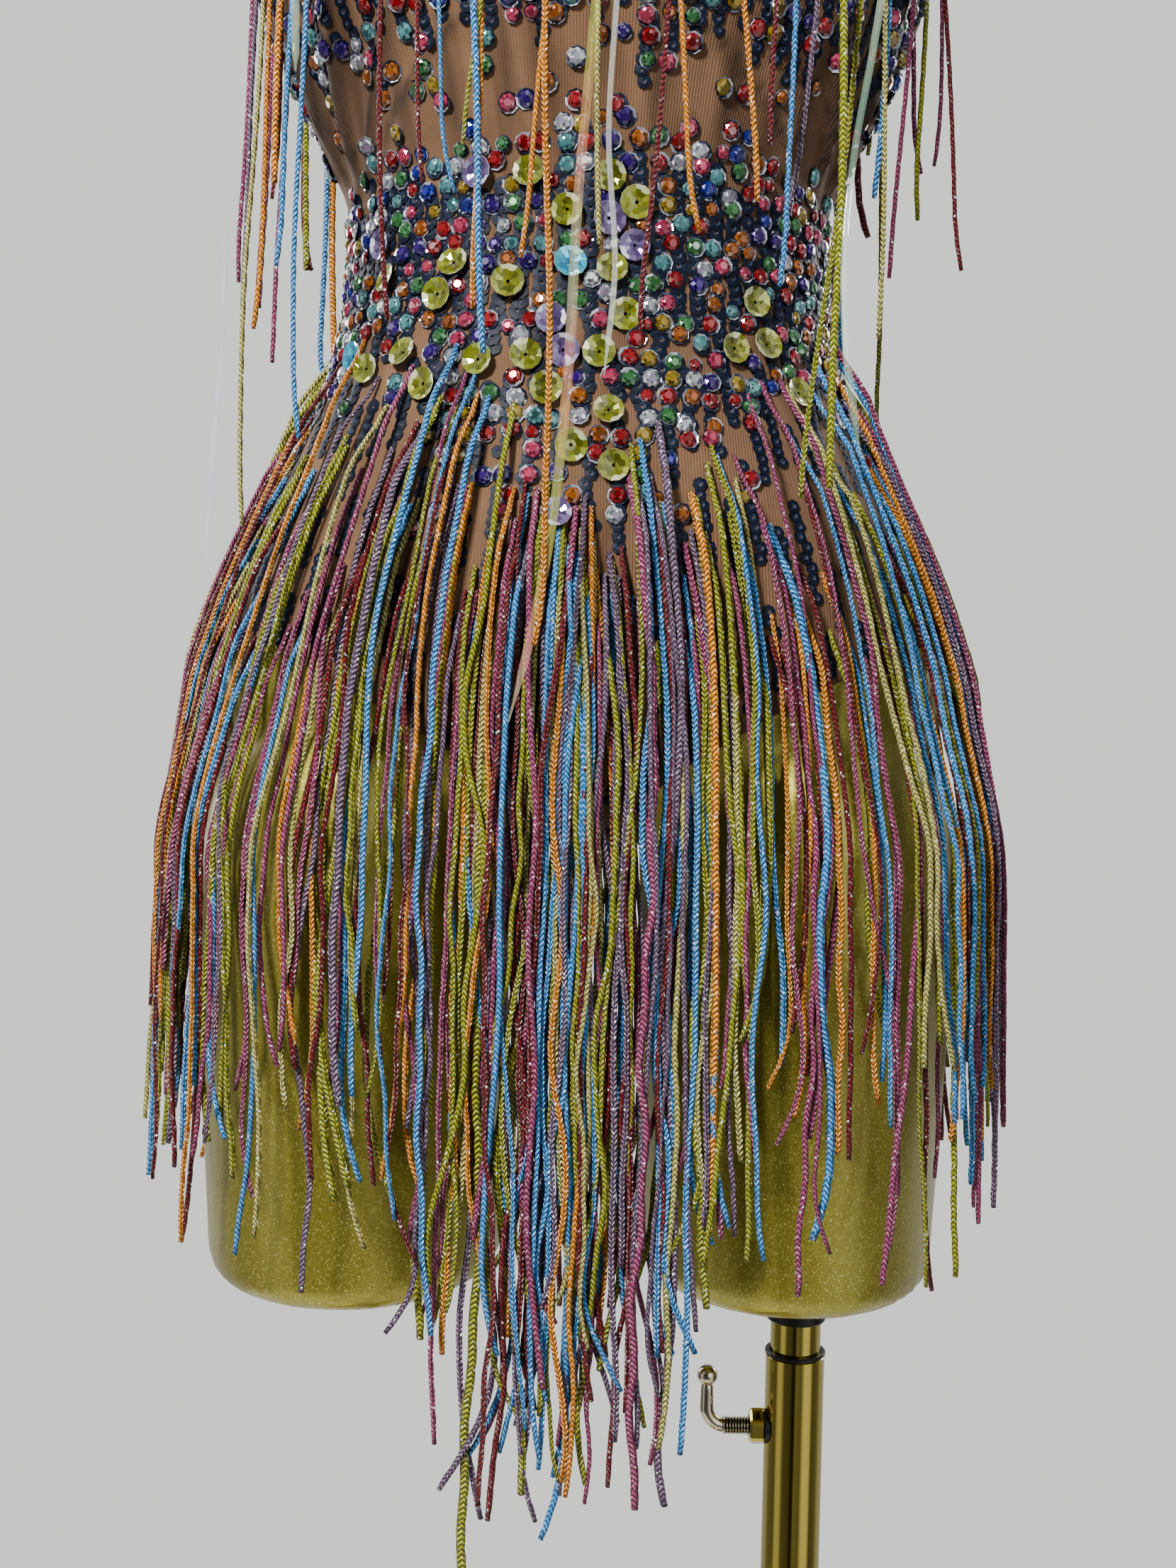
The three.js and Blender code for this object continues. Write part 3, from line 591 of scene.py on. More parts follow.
def navy_material():
    """Navy sequin plastic, painted a lighter blue on the raised ring as a highlight."""
    mat, n = material("navy_sequin", (0.004, 0.008, 0.027), 0.5, 0.0, Specular_IOR_Level=0.12)
    # Painted highlight: lighter blue on the raised ring
    tint = n.ramp(n.attribute("facet"), [(0.0, (0.001, 0.003, 0.009)), (0.6, (0.003, 0.006, 0.019)),
                                         (1.0, (0.02, 0.036, 0.08))])
    n.clouded(tint, 300.0, 0.7)
    return mat


def polished(name, color, roughness):
    """Polished metal with faint wear."""
    mat, n = material(name, color, roughness, 1.0)
    where = n.place()
    n.roughness(n.math("MULTIPLY_ADD", n.noise(14.0, 5.0, where, 0.6), 0.06, roughness))
    n.color(n.ramp(n.noise(5.0, 2.0, where), [(0.3, color), (0.75, toned(color, 1.1))]))
    n.bump(n.noise(2200.0, 2.0, where), 0.03, 0.00005)
    return mat


PALE_STEEL = (0.40, 0.355, 0.27)


def screw_steel(pitch, low_x, high_x):
    """Pale gold steel with painted shade in the grooves of its thread."""
    mat = polished("pale_gold_thread", PALE_STEEL, 0.12)
    n = Nodes(mat.node_tree)
    x = n.add("ShaderNodeSeparateXYZ", Vector=n.place()).outputs[0]
    turn = n.math("MULTIPLY", n.math("SUBTRACT", x, high_x * MM), 2 * math.pi / (pitch * MM))
    # Painted shade in the roots of the thread
    groove = n.math("LESS_THAN", n.math("COSINE", turn), -0.5)
    inside = n.math("MULTIPLY", n.math("GREATER_THAN", x, low_x * MM), n.math("LESS_THAN", x, high_x * MM))
    plain = n.shader.inputs["Base Color"].links[0].from_socket
    n.color(n.mix(n.math("MULTIPLY", groove, inside), plain, (0.035, 0.03, 0.02, 1)))
    return mat


def satin_black():
    mat, n = material("satin_black", (0.005, 0.005, 0.005), 0.4, 0.0, Specular_IOR_Level=0.25)
    where = n.place()
    n.roughness(n.math("MULTIPLY_ADD", n.noise(60.0, 3.0, where), 0.2, 0.28))
    n.bump(n.noise(900.0, 3.0, where), 0.15, 0.0001)
    return mat


GOLD_PAINT = flake_gold()
NUDE = nude_mesh()
NAVY = navy_material()
POLISHED_GOLD = polished("polished_gold", (0.37, 0.295, 0.058), 0.06)
PALE_GOLD = polished("pale_gold_steel", PALE_STEEL, 0.12)
BLACK = satin_black()
# Settings: dark navy, with pale tints painted as a highlight on one side of each rim
CUP = rainbow_material("navy_silver_cup", [(0.008, 0.014, 0.036), (0.02, 0.032, 0.08), (0.10, 0.13, 0.21),
                                           (0.50, 0.54, 0.62)], 0.14, 0.6)

GEM_COLOURS = {
    "red": (0.19, 0.0, 0.003),
    "amber": (0.21, 0.052, 0.0),
    "green": (0.022, 0.11, 0.03),
    "violet": (0.018, 0.0, 0.10),
    "royal": (0.002, 0.008, 0.18),
    "aqua": (0.055, 0.19, 0.20),
    "rose": (0.32, 0.022, 0.065),
    "gold": (0.19, 0.125, 0.002),
}
GEM_SHARES = {
    "red": 0.17, "amber": 0.15, "green": 0.14, "violet": 0.11, "royal": 0.04, "aqua": 0.10, "rose": 0.09,
    "gold": 0.07, "crystal": 0.12,
}
# Crystal facets, from painted shade to a pale painted highlight
CRYSTAL_TINTS = [(0.03, 0.045, 0.05), (0.10, 0.13, 0.135), (0.20, 0.15, 0.24), (0.26, 0.33, 0.33),
                 (0.90, 0.93, 0.84)]
# Cup sequins' tints, from painted shade on dark facets to a pale painted highlight
SEQUIN_TINTS = {
    "lime": [(0.07, 0.08, 0.002), (0.18, 0.20, 0.008), (0.29, 0.33, 0.03), (0.88, 0.93, 0.55)],
    "lilac": [(0.05, 0.03, 0.10), (0.12, 0.08, 0.21), (0.20, 0.15, 0.32), (0.80, 0.80, 0.95)],
    "aqua": [(0.0, 0.12, 0.24), (0.01, 0.30, 0.48), (0.06, 0.52, 0.64), (0.65, 0.93, 0.95)],
}
SEQUIN_SHARES = [0.68, 0.27, 0.05]


# Camera, floor and light

VIEW = {"distance": 750.0, "focal_px": 2500.0, "pitch": math.radians(3.0), "roll": math.radians(1.1),
        "aim_x": 4.2, "aim_z": 792.0, "picture_height_px": 2212.0}
SENSOR_MM = 36.0
FLOOR_RADIUS = 780


def add_camera():
    """The photo's view: close to the front, a little from above."""
    camera = bpy.data.cameras.new("camera")
    camera.sensor_width = SENSOR_MM
    camera.lens = SENSOR_MM * VIEW["focal_px"] / VIEW["picture_height_px"]
    camera.clip_start, camera.clip_end = 0.05, 30
    obj = new_object("camera", camera)
    pitch = VIEW["pitch"]
    forward = np.array([0, math.cos(pitch), -math.sin(pitch)])
    aim = np.array([VIEW["aim_x"], 0, VIEW["aim_z"]])
    obj.location = (aim - forward * VIEW["distance"]) * MM
    obj.rotation_mode = "XYZ"
    obj.rotation_euler = (math.pi / 2 - pitch, 0, 0)
    obj.rotation_euler.rotate_axis("Z", VIEW["roll"])
    bpy.context.scene.camera = obj


def add_floor():
    """A pale round floor under the stand."""
    grey = (0.66, 0.655, 0.643)
    sides = 128
    floor = mesh_object("floor", polar(FLOOR_RADIUS, sides, -1.0), [range(sides)], False)
    mat, n = material("pale_floor", grey, 0.8)
    n.color(n.ramp(n.noise(6.0, 4.0, n.place()), [(0.3, toned(grey, 0.97)), (0.7, grey)]))
    floor.data.materials.append(mat)


# The middle of the figure, in metres
LIT_POINT = (0, 0, 0.85)


def add_light(name, place, size, energy, color):
    """An area light that faces the middle of the figure. Places and sizes are in metres."""
    light = bpy.data.lights.new(name, "AREA")
    light.shape = "RECTANGLE"
    light.size, light.size_y = size
    light.energy = energy
    light.color = color
    obj = new_object(name, light)
    obj.location = place
    obj.rotation_mode = "QUATERNION"
    obj.rotation_quaternion = (Vector(LIT_POINT) - Vector(place)).to_track_quat("-Z", "Y")


def add_lights():
    add_light("key", (-0.65, -1.3, 1.8), (0.25, 0.25), 76, (1.0, 0.98, 0.95))
    add_light("fill", (0.9, -1.9, 1.1), (0.9, 1.4), 9, (0.97, 0.98, 1.0))
    add_light("rim_left", (-1.4, 1.1, 1.5), (0.6, 1.6), 26, (1, 1, 1))
    add_light("rim_right", (1.3, 1.2, 1.6), (0.6, 1.6), 26, (1, 1, 1))
    add_world()


# A room as bright windows and dark gaps: place round the room from 0 to 1, and brightness
ROOM_STRIPES = [
    (0.0, 0.8), (0.14, 0.85), (0.19, 0.35), (0.27, 0.25), (0.30, 1.25), (0.34, 1.2), (0.37, 0.22),
    (0.44, 0.16), (0.462, 0.03), (0.485, 0.04), (0.50, 0.42), (0.56, 0.30), (0.60, 1.8), (0.66, 1.6),
    (0.69, 0.22), (0.76, 0.28), (0.82, 0.85), (1.0, 0.8),
]
# Brightness of the wall, share of the room's light that falls on dull surfaces, and strength of the whole
WALL = (1.02, 1.01184, 0.9945)
DULL_SHARE = 0.45
WORLD_STRENGTH = 2.0


def add_world():
    """A plain pale wall in sight, and a room of windows and dark gaps that lights the part."""
    world = bpy.data.worlds.new("world")
    bpy.context.scene.world = world
    world.use_nodes = True
    tree = world.node_tree
    n = Nodes(tree)
    direction = n.add("ShaderNodeTexCoord").outputs["Generated"]
    split = n.add("ShaderNodeSeparateXYZ", Vector=direction)
    turn = n.math("ARCTAN2", split.outputs[0], n.math("MULTIPLY", split.outputs[1], -1.0))
    around = n.math("MULTIPLY_ADD", turn, 1 / (2 * math.pi), 0.5)
    stripes = n.ramp(around, [(place, value / WORLD_STRENGTH) for place, value in ROOM_STRIPES])
    upward = n.ramp(n.math("MULTIPLY_ADD", split.outputs[2], 0.5, 0.5), [(0.0, 0.35), (0.5, 0.9), (1.0, 1.0)])
    ray = n.add("ShaderNodeLightPath").outputs
    soft = n.math("MULTIPLY_ADD", ray["Is Diffuse Ray"], DULL_SHARE - 1, 1.0)
    room = n.times(n.times(stripes, upward), n.grey(soft))
    wall = (*(value / WORLD_STRENGTH for value in WALL), 1)
    background = tree.nodes["Background"]
    n.put(background.inputs[0], n.mix(ray["Is Camera Ray"], room, wall))
    n.put(background.inputs[1], WORLD_STRENGTH)


# The dress form

def build_form():
    """Torso and thigh stumps, blended where they meet, with flat arm plates."""
    heights = np.concatenate([np.linspace(771, 800, 14), np.linspace(804, 1446, 150)])
    angles = circle(144)
    torso = loft("dress_form_skin", figure_points(angles[None, :], heights[:, None]))
    cut(torso, block("arm_plates", ARM_PLATE_X, BELOW, -PAST_FORM, PAST_FORM), "INTERSECT")
    turn = circle(96)
    for sign in (-1, 1):
        levels = np.concatenate([np.linspace(587, 604, 12), np.linspace(612, 835, 48)])
        middle, wide, deep = np.moveaxis(smooth_rows(THIGH, levels), -1, 0)
        x = sign * middle[:, None] + wide[:, None] * np.cos(turn)[None]
        y = deep[:, None] * np.sin(turn)[None]
        z = np.broadcast_to(levels[:, None], x.shape)
        thigh = loft(f"thigh_{sign}", np.stack([x, y, z], -1))
        cut(torso, thigh, "UNION")
    apply_modifier(torso, "REMESH", mode="VOXEL", voxel_size=0.005, use_smooth_shade=True)
    apply_modifier(torso, "SMOOTH", factor=0.5, iterations=3)
    socket = loft("socket", tube_rings(11.0, 580, 677, POLE_X, 48))
    cut(torso, socket)
    shade_smooth(torso.data)
    paint(torso, GOLD_PAINT)
    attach(torso, "figure")
    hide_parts("dress_form")


# The bodysuit

SUIT_COLUMNS = 208
HALF_SEAM = 0.15


def suit_rings(lift):
    """Rings up the figure at a distance from the inside of the cloth, and a level ring under them."""
    heights = np.concatenate([np.linspace(771.5, 800, 16), np.linspace(804, CLOTH_TOP + 2, 140)])
    points = cloth_points(circle(SUIT_COLUMNS)[None, :], heights[:, None], lift - CLOTH_WALL)
    tip = points[0].copy()
    tip[:, 2] = points[0, :, 2].min()
    return np.concatenate([tip[None], points])


def build_suit():
    """Front and back panel as a thin wall, open at the neck, arms and legs."""
    wall = loft("suit_wall", suit_rings(CLOTH_WALL))
    cut(wall, loft("suit_inside", suit_rings(0.0)))
    front_side, back_side = (-PAST_SIDE, 0), (0, PAST_SIDE)
    for sign in (-1, 1):
        for name, table, side in (("front", LEG_FRONT, front_side), ("back", LEG_BACK, back_side)):
            curve = curve_through(table[1:], 60)
            outline = np.concatenate([[(table[0][0], BELOW)], curve, [(table[-1][0], BELOW)]])
            outline[:, 0] *= sign
            cut(wall, prism(f"leg_{name}", outline, *side))
        turn = circle(64)
        y = ARMHOLE["half_depth"] * np.cos(turn)
        z = ARMHOLE["z"] + ARMHOLE["half_height"] * np.sin(turn)
        hole = loft("armhole", np.stack([np.stack([np.full(64, sign * x), y, z], -1)
                                         for x in (ARMHOLE["x"], ARMHOLE["far_x"])]))
        outward(hole)
        cut(wall, hole)
    for bottom, side in ((NECK["front_z"], front_side), (NECK["back_z"], back_side)):
        turn = circle(72)
        outline = np.stack([NECK["half_width"] * np.cos(turn),
                            NECK["top_z"] + (NECK["top_z"] - bottom) * np.sin(turn)], -1)
        cut(wall, prism("neck", outline, *side))
    cut(wall, block("above", PAST_SIDE, CLOTH_TOP, -PAST_SIDE, PAST_SIDE))
    panels = []
    for name, low_y, high_y in (("suit_front", -PAST_HALF, -HALF_SEAM), ("suit_back", HALF_SEAM, PAST_HALF)):
        panel = new_object(name + "_panel", wall.data.copy())
        cut(panel, block("half", PAST_HALF, BELOW, low_y, high_y), "INTERSECT")
        add_cloth_uv(panel)
        shade_smooth(panel.data)
        paint(panel, NUDE)
        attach(panel, "figure")
        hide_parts(name)
        panels.append(panel)
    remove(wall)
    return panels


def add_cloth_uv(obj):
    """Cloth coordinates in millimetres, across by the angle and up by the height, and the creases' shade."""
    mesh = obj.data
    points = np.zeros(len(mesh.vertices) * 3)
    mesh.vertices.foreach_get("co", points)
    points = points.reshape(-1, 3) / MM
    wide, front, back = np.moveaxis(smooth_rows(FIGURE, points[:, 2]), -1, 0)
    depth = np.where(points[:, 1] < 0, front, back)
    angle = np.arctan2(signed_power(points[:, 1] / depth, SECTION_POWER / 2),
                       signed_power(points[:, 0] / wide, SECTION_POWER / 2))
    # The creases' painted shade, kept on the cloth for its material
    crease = mesh.attributes.new("crease", "FLOAT", "POINT")
    crease.data.foreach_set("value", fold_lines(angle, points[:, 2])[1].astype(np.float32))
    across = np.arctan2(points[:, 1] * 1.25, points[:, 0]) * 115.0
    uv = np.stack([across, points[:, 2]], -1)
    layer = mesh.uv_layers.new(name="along")
    loops = np.zeros(len(mesh.loops), np.int32)
    mesh.loops.foreach_get("vertex_index", loops)
    layer.data.foreach_set("uv", uv[loops].astype(np.float32).ravel())


# Small repeated pieces set on the cloth

def stamp(name, shape, places, mat):
    """Copies of one small shape, joined in one mesh, at places from places_on_cloth()."""
    local, faces, tones = shape
    count, size = len(places["origin"]), len(local)
    spin = places["spin"]
    cos, sin = np.cos(spin)[:, None], np.sin(spin)[:, None]
    across = places["along"] * cos + places["up"] * sin
    upward = places["up"] * cos - places["along"] * sin
    scale = places["scale"][:, None, None]
    points = (local[None, :, 0, None] * across[:, None] + local[None, :, 1, None] * upward[:, None]
              + local[None, :, 2, None] * places["out"][:, None]) * scale + places["origin"][:, None]
    shift = (np.arange(count) * size)[:, None]
    order = [row for face in faces for row in np.asarray(face)[None, :] + shift]
    # Each face's tone of painted light and shade, spread at random
    tone = np.concatenate([np.clip(value + RNG.normal(0, 0.16, count), 0, 1) for value in tones])
    obj = mesh_object(name, points.reshape(-1, 3), order, False, face_values={"facet": tone})
    obj.data.materials.append(mat)
    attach(obj, "figure")


def gem_shape():
    """A round faceted stone of radius 1: table, two rows of facets, and a girdle."""
    count = 8
    rings = [polar(1.0, count, 0.05), polar(1.0, count, 0.18), polar(0.78, count, 0.46, math.pi / count),
             polar(0.44, count, 0.62)]
    points = np.concatenate(rings)
    # Each face's tone is painted light: a dark girdle, and facets painted lighter or darker as if lit
    faces, tones = [], []
    for c in range(count):
        n = (c + 1) % count
        faces.append((c, n, count + n, count + c))
        tones.append(0.15)
    low, high, top = count, 2 * count, 3 * count
    for c in range(count):
        n = (c + 1) % count
        faces.append((low + c, low + n, high + c))
        tones.append(0.35 + 0.4 * (c % 3 == 0))
        faces.append((low + n, high + n, high + c))
        tones.append(0.55 + 0.3 * (c % 2))
        faces.append((high + c, high + n, top + n))
        tones.append(0.45 + 0.35 * (c % 4 == 1))
        faces.append((high + c, top + n, top + c))
        tones.append(0.3 + 0.5 * (c % 5 == 2))
    faces.append(range(top, top + count))
    tones.append(0.62)
    return points, faces, tones


def dish_faces(count):
    """Faces between three rings, facing up."""
    return ring_faces(3, count)[:, [0, 3, 2, 1]]


def cup_shape():
    """A dark setting under a stone: a shallow dish with a raised rim, painted with a highlight on one side.
    """
    count = 9
    points = np.concatenate([polar(0.8, count, 0.05), polar(1.22, count, 0.22), polar(1.19, count, 0.05)])
    return points, dish_faces(count), (0.95, 1.0, 0.75, 0.35, 0.12, 0.08, 0.1, 0.2, 0.5) * 2


def sequin_shape():
    """A faceted cup sequin of radius 1: a hole, a flat six-sided floor and facets up to a round rim."""
    count = 12
    corners = polar(0.5, 6, 0.10)
    middles = (corners + np.roll(corners, -1, axis=0)) / 2
    floor = np.stack([corners, middles], 1).reshape(-1, 3)
    points = np.concatenate([polar(0.11, count, 0.08), floor, polar(0.98, count, 0.34),
                             polar(1.0, count, 0.30), polar(0.12, count, 0.03)])
    faces, tones = [], []
    # Each face's painted light: a dark floor, facets lighter or darker as if lit, a painted highlight on the
    # rim, and shade underneath
    facets = (0.5, 0.62, 0.42, 0.55, 0.36, 0.95)
    inner, slope, rim, under = ring_faces(5, count)[:, ::-1].reshape(4, count, 4)
    for c in range(count):
        faces += [inner[c], slope[c], rim[c]]
        tones += [0.22, facets[c // 2], 0.85]
    return points, faces + list(under), tones + [0.2] * count


def navy_shape():
    """A flat round sequin of radius 1, with a raised ring round its hole that carries a painted highlight."""
    count = 7
    points = np.concatenate([polar(0.20, count, 0.10), polar(0.40, count, 0.20), polar(1.0, count, 0.13)])
    return points, dish_faces(count), (0.95,) * count + (0.3,) * count


def places_on_cloth(angle, z, lift, scale, tilt):
    """Where small pieces sit: on the cloth, facing out, each a little askew."""
    angle, z = np.asarray(angle, float), np.asarray(z, float)
    out, along, up = cloth_frames(angle, z)
    askew = RNG.normal(0, 1, (len(angle), 2)) * tilt
    out = unit(out + along * askew[:, :1] + up * askew[:, 1:])
    along = unit(np.cross(up, out))
    up = np.cross(out, along)
    return {"origin": cloth_points(angle, z, lift), "out": out, "along": along, "up": up,
            "scale": np.broadcast_to(np.asarray(scale, float), angle.shape).copy(),
            "spin": RNG.uniform(0, 2 * math.pi, len(angle))}


def some(places, chosen):
    return {key: value[chosen] for key, value in places.items()}


def draw(shares, count=None):
    """Random places in a table of shares."""
    weights = np.array(list(shares.values()))
    return RNG.choice(len(weights), count, p=weights / weights.sum())


# The dense band of stones round the waist: its top, how far that drops at the sides, and its lower edge,
# which dips in the middle
WAIST_BAND = {"top": 1041, "side_drop": 20, "low": 952, "middle_dip": 28}
# Other zones of stones: share of the densest setting, heights of the fade in, and heights of the fade out
GEM_ZONES = {
    "vee": (0.5, 872, 900, 972, 950), "bare_band": (0.2, 1034, 1044, 1086, 1070),
    "skirt": (0.10, 905, 925, 966, 955), "bust": (0.5, 1060, 1078, 1395, 1370),
}
# Lowest stone, spacing of the densest setting, and sizes
GEM_LOW = 874
GEM_STEP = 8.25
GEM_RADII = (2.6, 3.3)
SMALL_GEM_SHARE = 0.16
# Room round the middle of a cup sequin, for a stone and for the next sequin
SEQUIN_ROOM = 7.6
SEQUIN_PITCH = 11.8
SEQUIN_RADII = (5.8, 6.6)


def gem_zone(name, z):
    share, low, low_full, high, high_full = GEM_ZONES[name]
    return share * smoothstep(low, low_full, z) * smoothstep(high, high_full, z)


def gem_density(angle, z):
    """Share of the densest setting of stones, from the waist up and down."""
    aside = np.abs(from_front(angle))
    aside = np.minimum(aside, math.pi - aside)
    upper = WAIST_BAND["top"] - WAIST_BAND["side_drop"] * (aside / 1.57) ** 1.5
    lower = WAIST_BAND["low"] - WAIST_BAND["middle_dip"] * bump(aside / 0.55)
    core = 1.05 * smoothstep(upper + 12, upper - 10, z) * smoothstep(lower - 14, lower + 10, z)
    vee = gem_zone("vee", z) * bump(aside / (0.16 + 0.004 * (z - GEM_ZONES["vee"][1])))
    return np.clip(core + vee + gem_zone("bare_band", z) + gem_zone("skirt", z) + gem_zone("bust", z), 0, 1)


def scatter_gems():
    """Even random places, each at least a stone's width from the last, thinned by the density."""
    kept_angle, kept_z = [], []
    turn = np.linspace(0, 2 * math.pi, 90)
    for index, level in enumerate(np.arange(GEM_LOW, TRIM_TOP, GEM_STEP * 0.88)):
        reach = lengths_along(cloth_points(turn, level))
        count = int(reach[-1] / GEM_STEP)
        along = (np.arange(count) + 0.5 * (index % 2)) / count * reach[-1] + RNG.normal(0, 0.9, count)
        kept_angle.append(np.interp(along % reach[-1], reach, turn))
        kept_z.append(level + RNG.normal(0, 1.0, count))
    angle, z = np.concatenate(kept_angle), np.concatenate(kept_z)
    keep = RNG.uniform(0, 1, len(angle)) < gem_density(angle, z) * 0.97
    angle, z = angle[keep], z[keep]
    covered = on_cloth(cloth_points(angle, z), 4.5)
    return angle[covered], z[covered]


# Cup sequins down the middle, in a row round the waist, and loose: count, half width in radians, low, high
SEQUIN_COLUMN = {"low": 892, "high": 1036, "step": 10.6, "narrow_below": 920}
SEQUIN_ROW = {"half": 1.02, "step": 0.17, "z": 950, "rise": 8}
LOOSE_SEQUINS = [(16, 0.95, 968, 1028), (18, 0.9, 1130, 1290)]


def big_sequin_places():
    """Cup sequins down the middle of the front and back, in a low row round the waist, and loose ones."""
    rows = []
    column, row = SEQUIN_COLUMN, SEQUIN_ROW
    for middle in (FRONT, -FRONT):
        for z in np.arange(column["low"], column["high"], column["step"]):
            for side in (-1, 1):
                if RNG.uniform() < (0.62 if z > column["narrow_below"] else 0.45):
                    reach = RNG.uniform(0.02, 0.16) * (0.7 if z < column["narrow_below"] else 1)
                    rows.append((middle + side * reach, z + RNG.normal(0, 2.5)))
        for aside in np.arange(-row["half"], row["half"] + 0.01, row["step"]):
            if RNG.uniform() < 0.72:
                angle = middle + aside + RNG.normal(0, 0.03)
                rows.append((angle, row["z"] + row["rise"] * abs(aside) + RNG.normal(0, 5)))
        for count, half, low_z, high_z in LOOSE_SEQUINS:
            for _ in range(count):
                rows.append((middle + RNG.uniform(-half, half), RNG.uniform(low_z, high_z)))
    places = np.array(rows)
    kept = []
    points = cloth_points(places[:, 0], places[:, 1])
    for index, point in enumerate(points):
        if all(np.linalg.norm(point - points[other]) > SEQUIN_PITCH for other in kept):
            kept.append(index)
    places = places[kept]
    covered = on_cloth(points[kept], 7)
    return places[covered]


def build_stones():
    """Small stones in dark settings, and the cup sequins that they leave room for."""
    sequins = big_sequin_places()
    sequin_points = cloth_points(sequins[:, 0], sequins[:, 1])
    angle, z = scatter_gems()
    points = cloth_points(angle, z)
    clear = np.array([np.min(np.linalg.norm(sequin_points - p, axis=1)) > SEQUIN_ROOM for p in points])
    angle, z = angle[clear], z[clear]
    radius = np.where(RNG.uniform(size=len(angle)) < SMALL_GEM_SHARE, *GEM_RADII)
    places = places_on_cloth(angle, z, 0.5, radius, 0.10)
    cups = {key: value.copy() for key, value in places.items()}
    slip = RNG.normal(0, 0.22, (len(angle), 2))
    cups["origin"] += cups["along"] * slip[:, :1] + cups["up"] * slip[:, 1:] - cups["out"] * 0.15
    stamp("gem_cups", cup_shape(), cups, CUP)
    kind = draw(GEM_SHARES, len(angle))
    for index, name in enumerate(GEM_SHARES):
        if name == "crystal":
            mat = rainbow_material("gem_crystal", CRYSTAL_TINTS, 0.06, 0.3)
        else:
            mat = gem_material(name, GEM_COLOURS[name])
        stamp(f"gems_{name}", gem_shape(), some(places, kind == index), mat)
    order = RNG.choice(len(SEQUIN_SHARES), len(sequins), p=SEQUIN_SHARES)
    radius = RNG.uniform(*SEQUIN_RADII, len(sequins))
    big = places_on_cloth(sequins[:, 0], sequins[:, 1], 1.4, radius, 0.12)
    for index, (name, stops) in enumerate(SEQUIN_TINTS.items()):
        mat = rainbow_material(f"sequin_{name}", stops, 0.10, 0.5)
        stamp(f"cup_sequins_{name}", sequin_shape(), some(big, order == index), mat)


# Strings of navy sequins: spacing along a string and least spacing across, lean of each sequin, lowest one,
# heights of the bare band, and the waist, where the sequins are larger
STRINGS = {"columns": 80, "pitch": 3.8, "narrowest": 4.4, "lean": 0.11, "low": 776, "bare_low": 1017,
           "bare_high": 1064, "waist_low": 936, "waist_high": 1034, "waist_size": 1.25}


def build_navy():
    """Upright strings of small navy sequins, each lapped over the next, dense at the waist and bust."""
    rows = []
    pitch, columns = STRINGS["pitch"], STRINGS["columns"]
    for column in range(columns):
        angle = column * 2 * math.pi / columns + 0.01
        z = STRINGS["low"] + RNG.uniform(0, 20)
        bare_low = STRINGS["bare_low"] + 12 * abs(math.sin(angle)) + RNG.uniform(-12, 4)
        bare_high = STRINGS["bare_high"] + RNG.uniform(-10, 14)
        while z < TRIM_TOP:
            dense = 925 < z < 1030 or z > 1040
            length = int(RNG.integers(11, 19)) if dense else int(RNG.integers(6, 11))
            for step in range(length):
                height = z + step * pitch
                if not bare_low < height < bare_high:
                    rows.append((angle + RNG.normal(0, 0.006), height))
            z += length * pitch + (RNG.uniform(1, 5) if dense else RNG.uniform(10, 17))
    places = np.array(rows)
    points = cloth_points(places[:, 0], places[:, 1])
    covered = on_cloth(points, 3.0)
    places, points = places[covered], points[covered]
    narrow = np.hypot(points[:, 0], points[:, 1]) * 2 * math.pi / columns < STRINGS["narrowest"]
    places = places[~narrow]
    order = np.argsort(places[:, 0] < math.pi)
    places = places[order]
    front = np.sin(places[:, 0]) < 0
    for name, chosen in (("front", front), ("back", ~front)):
        picked = places[chosen]
        waist = (picked[:, 1] > STRINGS["waist_low"]) & (picked[:, 1] < STRINGS["waist_high"])
        radius = RNG.uniform(2.65, 2.9, len(picked)) * np.where(waist, STRINGS["waist_size"], 1.0)
        at = places_on_cloth(picked[:, 0], picked[:, 1], 0.12, radius, 0.03)
        at["out"] = unit(at["out"] + at["up"] * STRINGS["lean"])
        at["up"] = np.cross(at["out"], at["along"])
        stamp(f"navy_sequins_{name}", navy_shape(), at, NAVY)


# Fringe

# Sides of a cord, and spacing of its rings
CORD_RING = 5
CORD_STEP = 4.8


def hang_points(angle):
    """Points on the widest line of hips and thighs."""
    depth = np.where(np.sin(angle) < 0, HANG["front"], HANG["back"])
    x = HANG["half_width"] * signed_power(np.cos(angle), 2 / HANG["power"])
    y = depth * signed_power(np.sin(angle), 2 / HANG["power"])
    return x, y


def clear_of_thighs(point, lift):
    """Moves a point of the hip squarely out to the line where cords hang clear, by halving the distance."""
    depth = (HANG["front"] if point[1] < 0 else HANG["back"]) + lift
    half = np.array([HANG["half_width"] + lift, depth])
    away = point / half ** 2
    away /= np.linalg.norm(away)
    near, far, halvings = 0.0, 80.0, 18
    for _ in range(halvings):
        middle = (near + far) / 2
        inside = np.sum(np.abs((point + away * middle) / half) ** HANG["power"]) < 1
        near, far = (middle, far) if inside else (near, middle)
    return point + away * far


